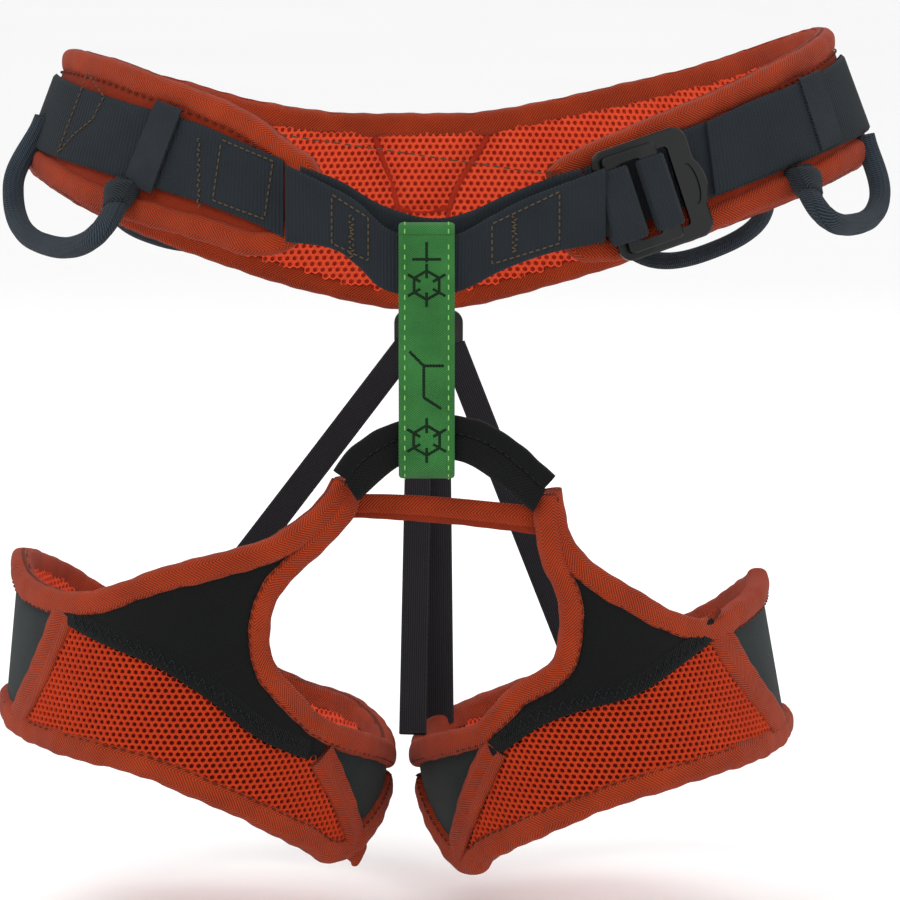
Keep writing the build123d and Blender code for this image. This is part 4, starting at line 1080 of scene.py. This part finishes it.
for name, (start, end, drops, splay, radius, sleeve_length) in GEAR_LOOPS.items():
    path, flank, down = gear_path(start, end, drops, splay)
    turn = np.linspace(0, 2 * math.pi, 4 * GROOVES, endpoint=False)
    size = radius * (1 + 0.045 * np.cos(turn * GROOVES))
    section = np.stack([size * np.cos(turn), size * np.sin(turn)], 1)
    tube = sweep(name + "_tube", path, np.tile(flank, (len(path), 1)), section, GEAR)
    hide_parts(name)
    reach = max(4, int(round((sleeve_length + 4) / 1.5)))
    neck = even(path[:reach], 0.7)
    share = np.linspace(0, 1, len(neck))
    flare = radius + np.interp(share, (0, 0.06, 0.18, 0.35, 0.7, 0.93, 1),
                               (-radius * 0.6, 1.4, 2.9, 3.1, 1.9, 1.4, 0.2))
    ahead = unit(np.gradient(neck, axis=0))
    aside = unit(np.cross(flank, ahead))
    rounds = np.linspace(0, 2 * math.pi, 40, endpoint=False)
    ridged = flare[:, None] + 0.12 * np.cos(rounds * 20)[None] * (share > 0.08)[:, None]
    skin = (neck[:, None] + ridged[..., None] * (np.cos(rounds)[None, :, None] * aside[:, None]
            + np.sin(rounds)[None, :, None] * flank))
    uv = np.stack(np.broadcast_arrays(share[:, None] * sleeve_length, rounds[None] * radius), -1)
    faces = grid_faces(len(neck), len(rounds), False, True)
    last = len(neck) * len(rounds) - 1
    faces += [tuple(range(len(rounds))), tuple(last - k for k in range(len(rounds)))]
    collar = new_mesh(name + "_woven_collar", skin.reshape(-1, 3), faces, GREY_TWILL, uv.reshape(-1, 2) * MM)
    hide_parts(name + "_collar")
    sewn, free = np.array(start) * MM, (start + down * BENDS) * MM
    for piece in (tube, collar):
        tuple(sewn)
        tuple(free)
        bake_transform(piece)


# ---- sewing that shows -----------------------------------------------------------------------
def bartack(wall, x, z_low, z_high, width, off, pitch=0.9):
    """Dense zigzag across a strap."""
    rows = np.arange(z_low, z_high, pitch)
    line = [(x + (width / 2 if k % 2 else -width / 2), z) for k, z in enumerate(rows)]
    return on_wall(wall, even(wall.front(line), 0.5), off)


def box_row(wall, corners, off):
    return on_wall(wall, even(wall.front(corners + corners[:1]), 0.8), off)


web_top = WEB_OFF + 1.0
brown = [
    box_row(WAIST, [(-80, 39), (-62, 32), (-65, 12), (-83, 18)], web_top),
    box_row(WAIST, [(-128, 60), (-122, 52), (-126, 44), (-133, 38), (-139, 31)], web_top),
    bartack(TIE_IN, -36, 0, 16, 2.2, 2.0), bartack(TIE_IN, 22, 2, 16, 2.2, 2.0),
    bartack(WAIST, -88, 15, 41, 1.2, web_top, 1.3),
    box_row(TIE_IN, [(-43, 22), (-30, 14), (-30, -1), (-43, 5)], 2.0),
    box_row(TIE_IN, [(14, 12), (38, 23), (38, 5), (14, -2)], 2.0),
]
top_sewing = stitches("webbing_stitches", brown, THREAD, 1.7, 0.7, 0.3)
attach(top_sewing, "waist")

# ---- parts that keep their CAD shape ---------------------------------------------------------
KEPT = {"buckle_base_plate": METAL, "buckle_release_plate": METAL, "rear_buckle": PLASTIC,
        "rear_anchor_webbing": ELASTIC}
for node, material in KEPT.items():
    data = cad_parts[node].data
    data.materials.clear()
    data.materials.append(material)

# ---- floor, light and camera -----------------------------------------------------------------
FLOOR_Z = -245.0
floor_shader = Shader("pale_floor", 0.9)
grain = floor_shader.spots(floor_shader.node("ShaderNodeTexCoord").outputs["Object"], 3.0)
floor_colour = floor_shader.ramp(grain, [(0.2, (0.955, 0.955, 0.955, 1)), (0.8, (0.97, 0.97, 0.97, 1))])
floor_shader.finish(floor_colour, grain, 0.1)
corners = [(x, y, FLOOR_Z) for x, y in ((-6000, -3500), (6000, -3500), (6000, 7000), (-6000, 7000))]
floor = new_mesh("floor", corners, [(0, 1, 2, 3)], floor_shader.material)

world = bpy.data.worlds.new("studio")
scene.world = world
world.use_nodes = True
world.node_tree.nodes["Background"].inputs[0].default_value = (1.0, 1.0, 1.0, 1.0)
world.node_tree.nodes["Background"].inputs[1].default_value = 0.97


def area_light(name, place, target, size, power):
    data = bpy.data.lights.new(name, "AREA")
    data.size, data.energy = size, power
    lamp = bpy.data.objects.new(name, data)
    scene.collection.objects.link(lamp)
    lamp.location = Vector(place)
    lamp.rotation_euler = (Vector(target) - Vector(place)).to_track_quat("-Z", "Y").to_euler()


MIDDLE = (0.0, 0.0, -0.08)
area_light("key", (-0.7, -1.1, 1.3), MIDDLE, 0.9, 11.0)
area_light("fill", (1.2, -1.0, 0.5), MIDDLE, 1.0, 3.0)
area_light("back", (0.2, 1.3, 1.0), MIDDLE, 1.0, 6.0)

CAMERA_TARGET = Vector((-0.9, 0.0, -80.0)) * MM
CAMERA_DISTANCE = 2.5
ELEVATION = math.radians(7.0)
camera_data = bpy.data.cameras.new("camera")
camera_data.lens, camera_data.sensor_width = 275.0, 36.0
camera = bpy.data.objects.new("camera", camera_data)
scene.collection.objects.link(camera)
camera.location = CAMERA_TARGET + Vector((0, -math.cos(ELEVATION), math.sin(ELEVATION))) * CAMERA_DISTANCE
camera.rotation_euler = (math.pi / 2 - ELEVATION, 0, 0)
scene.camera = camera
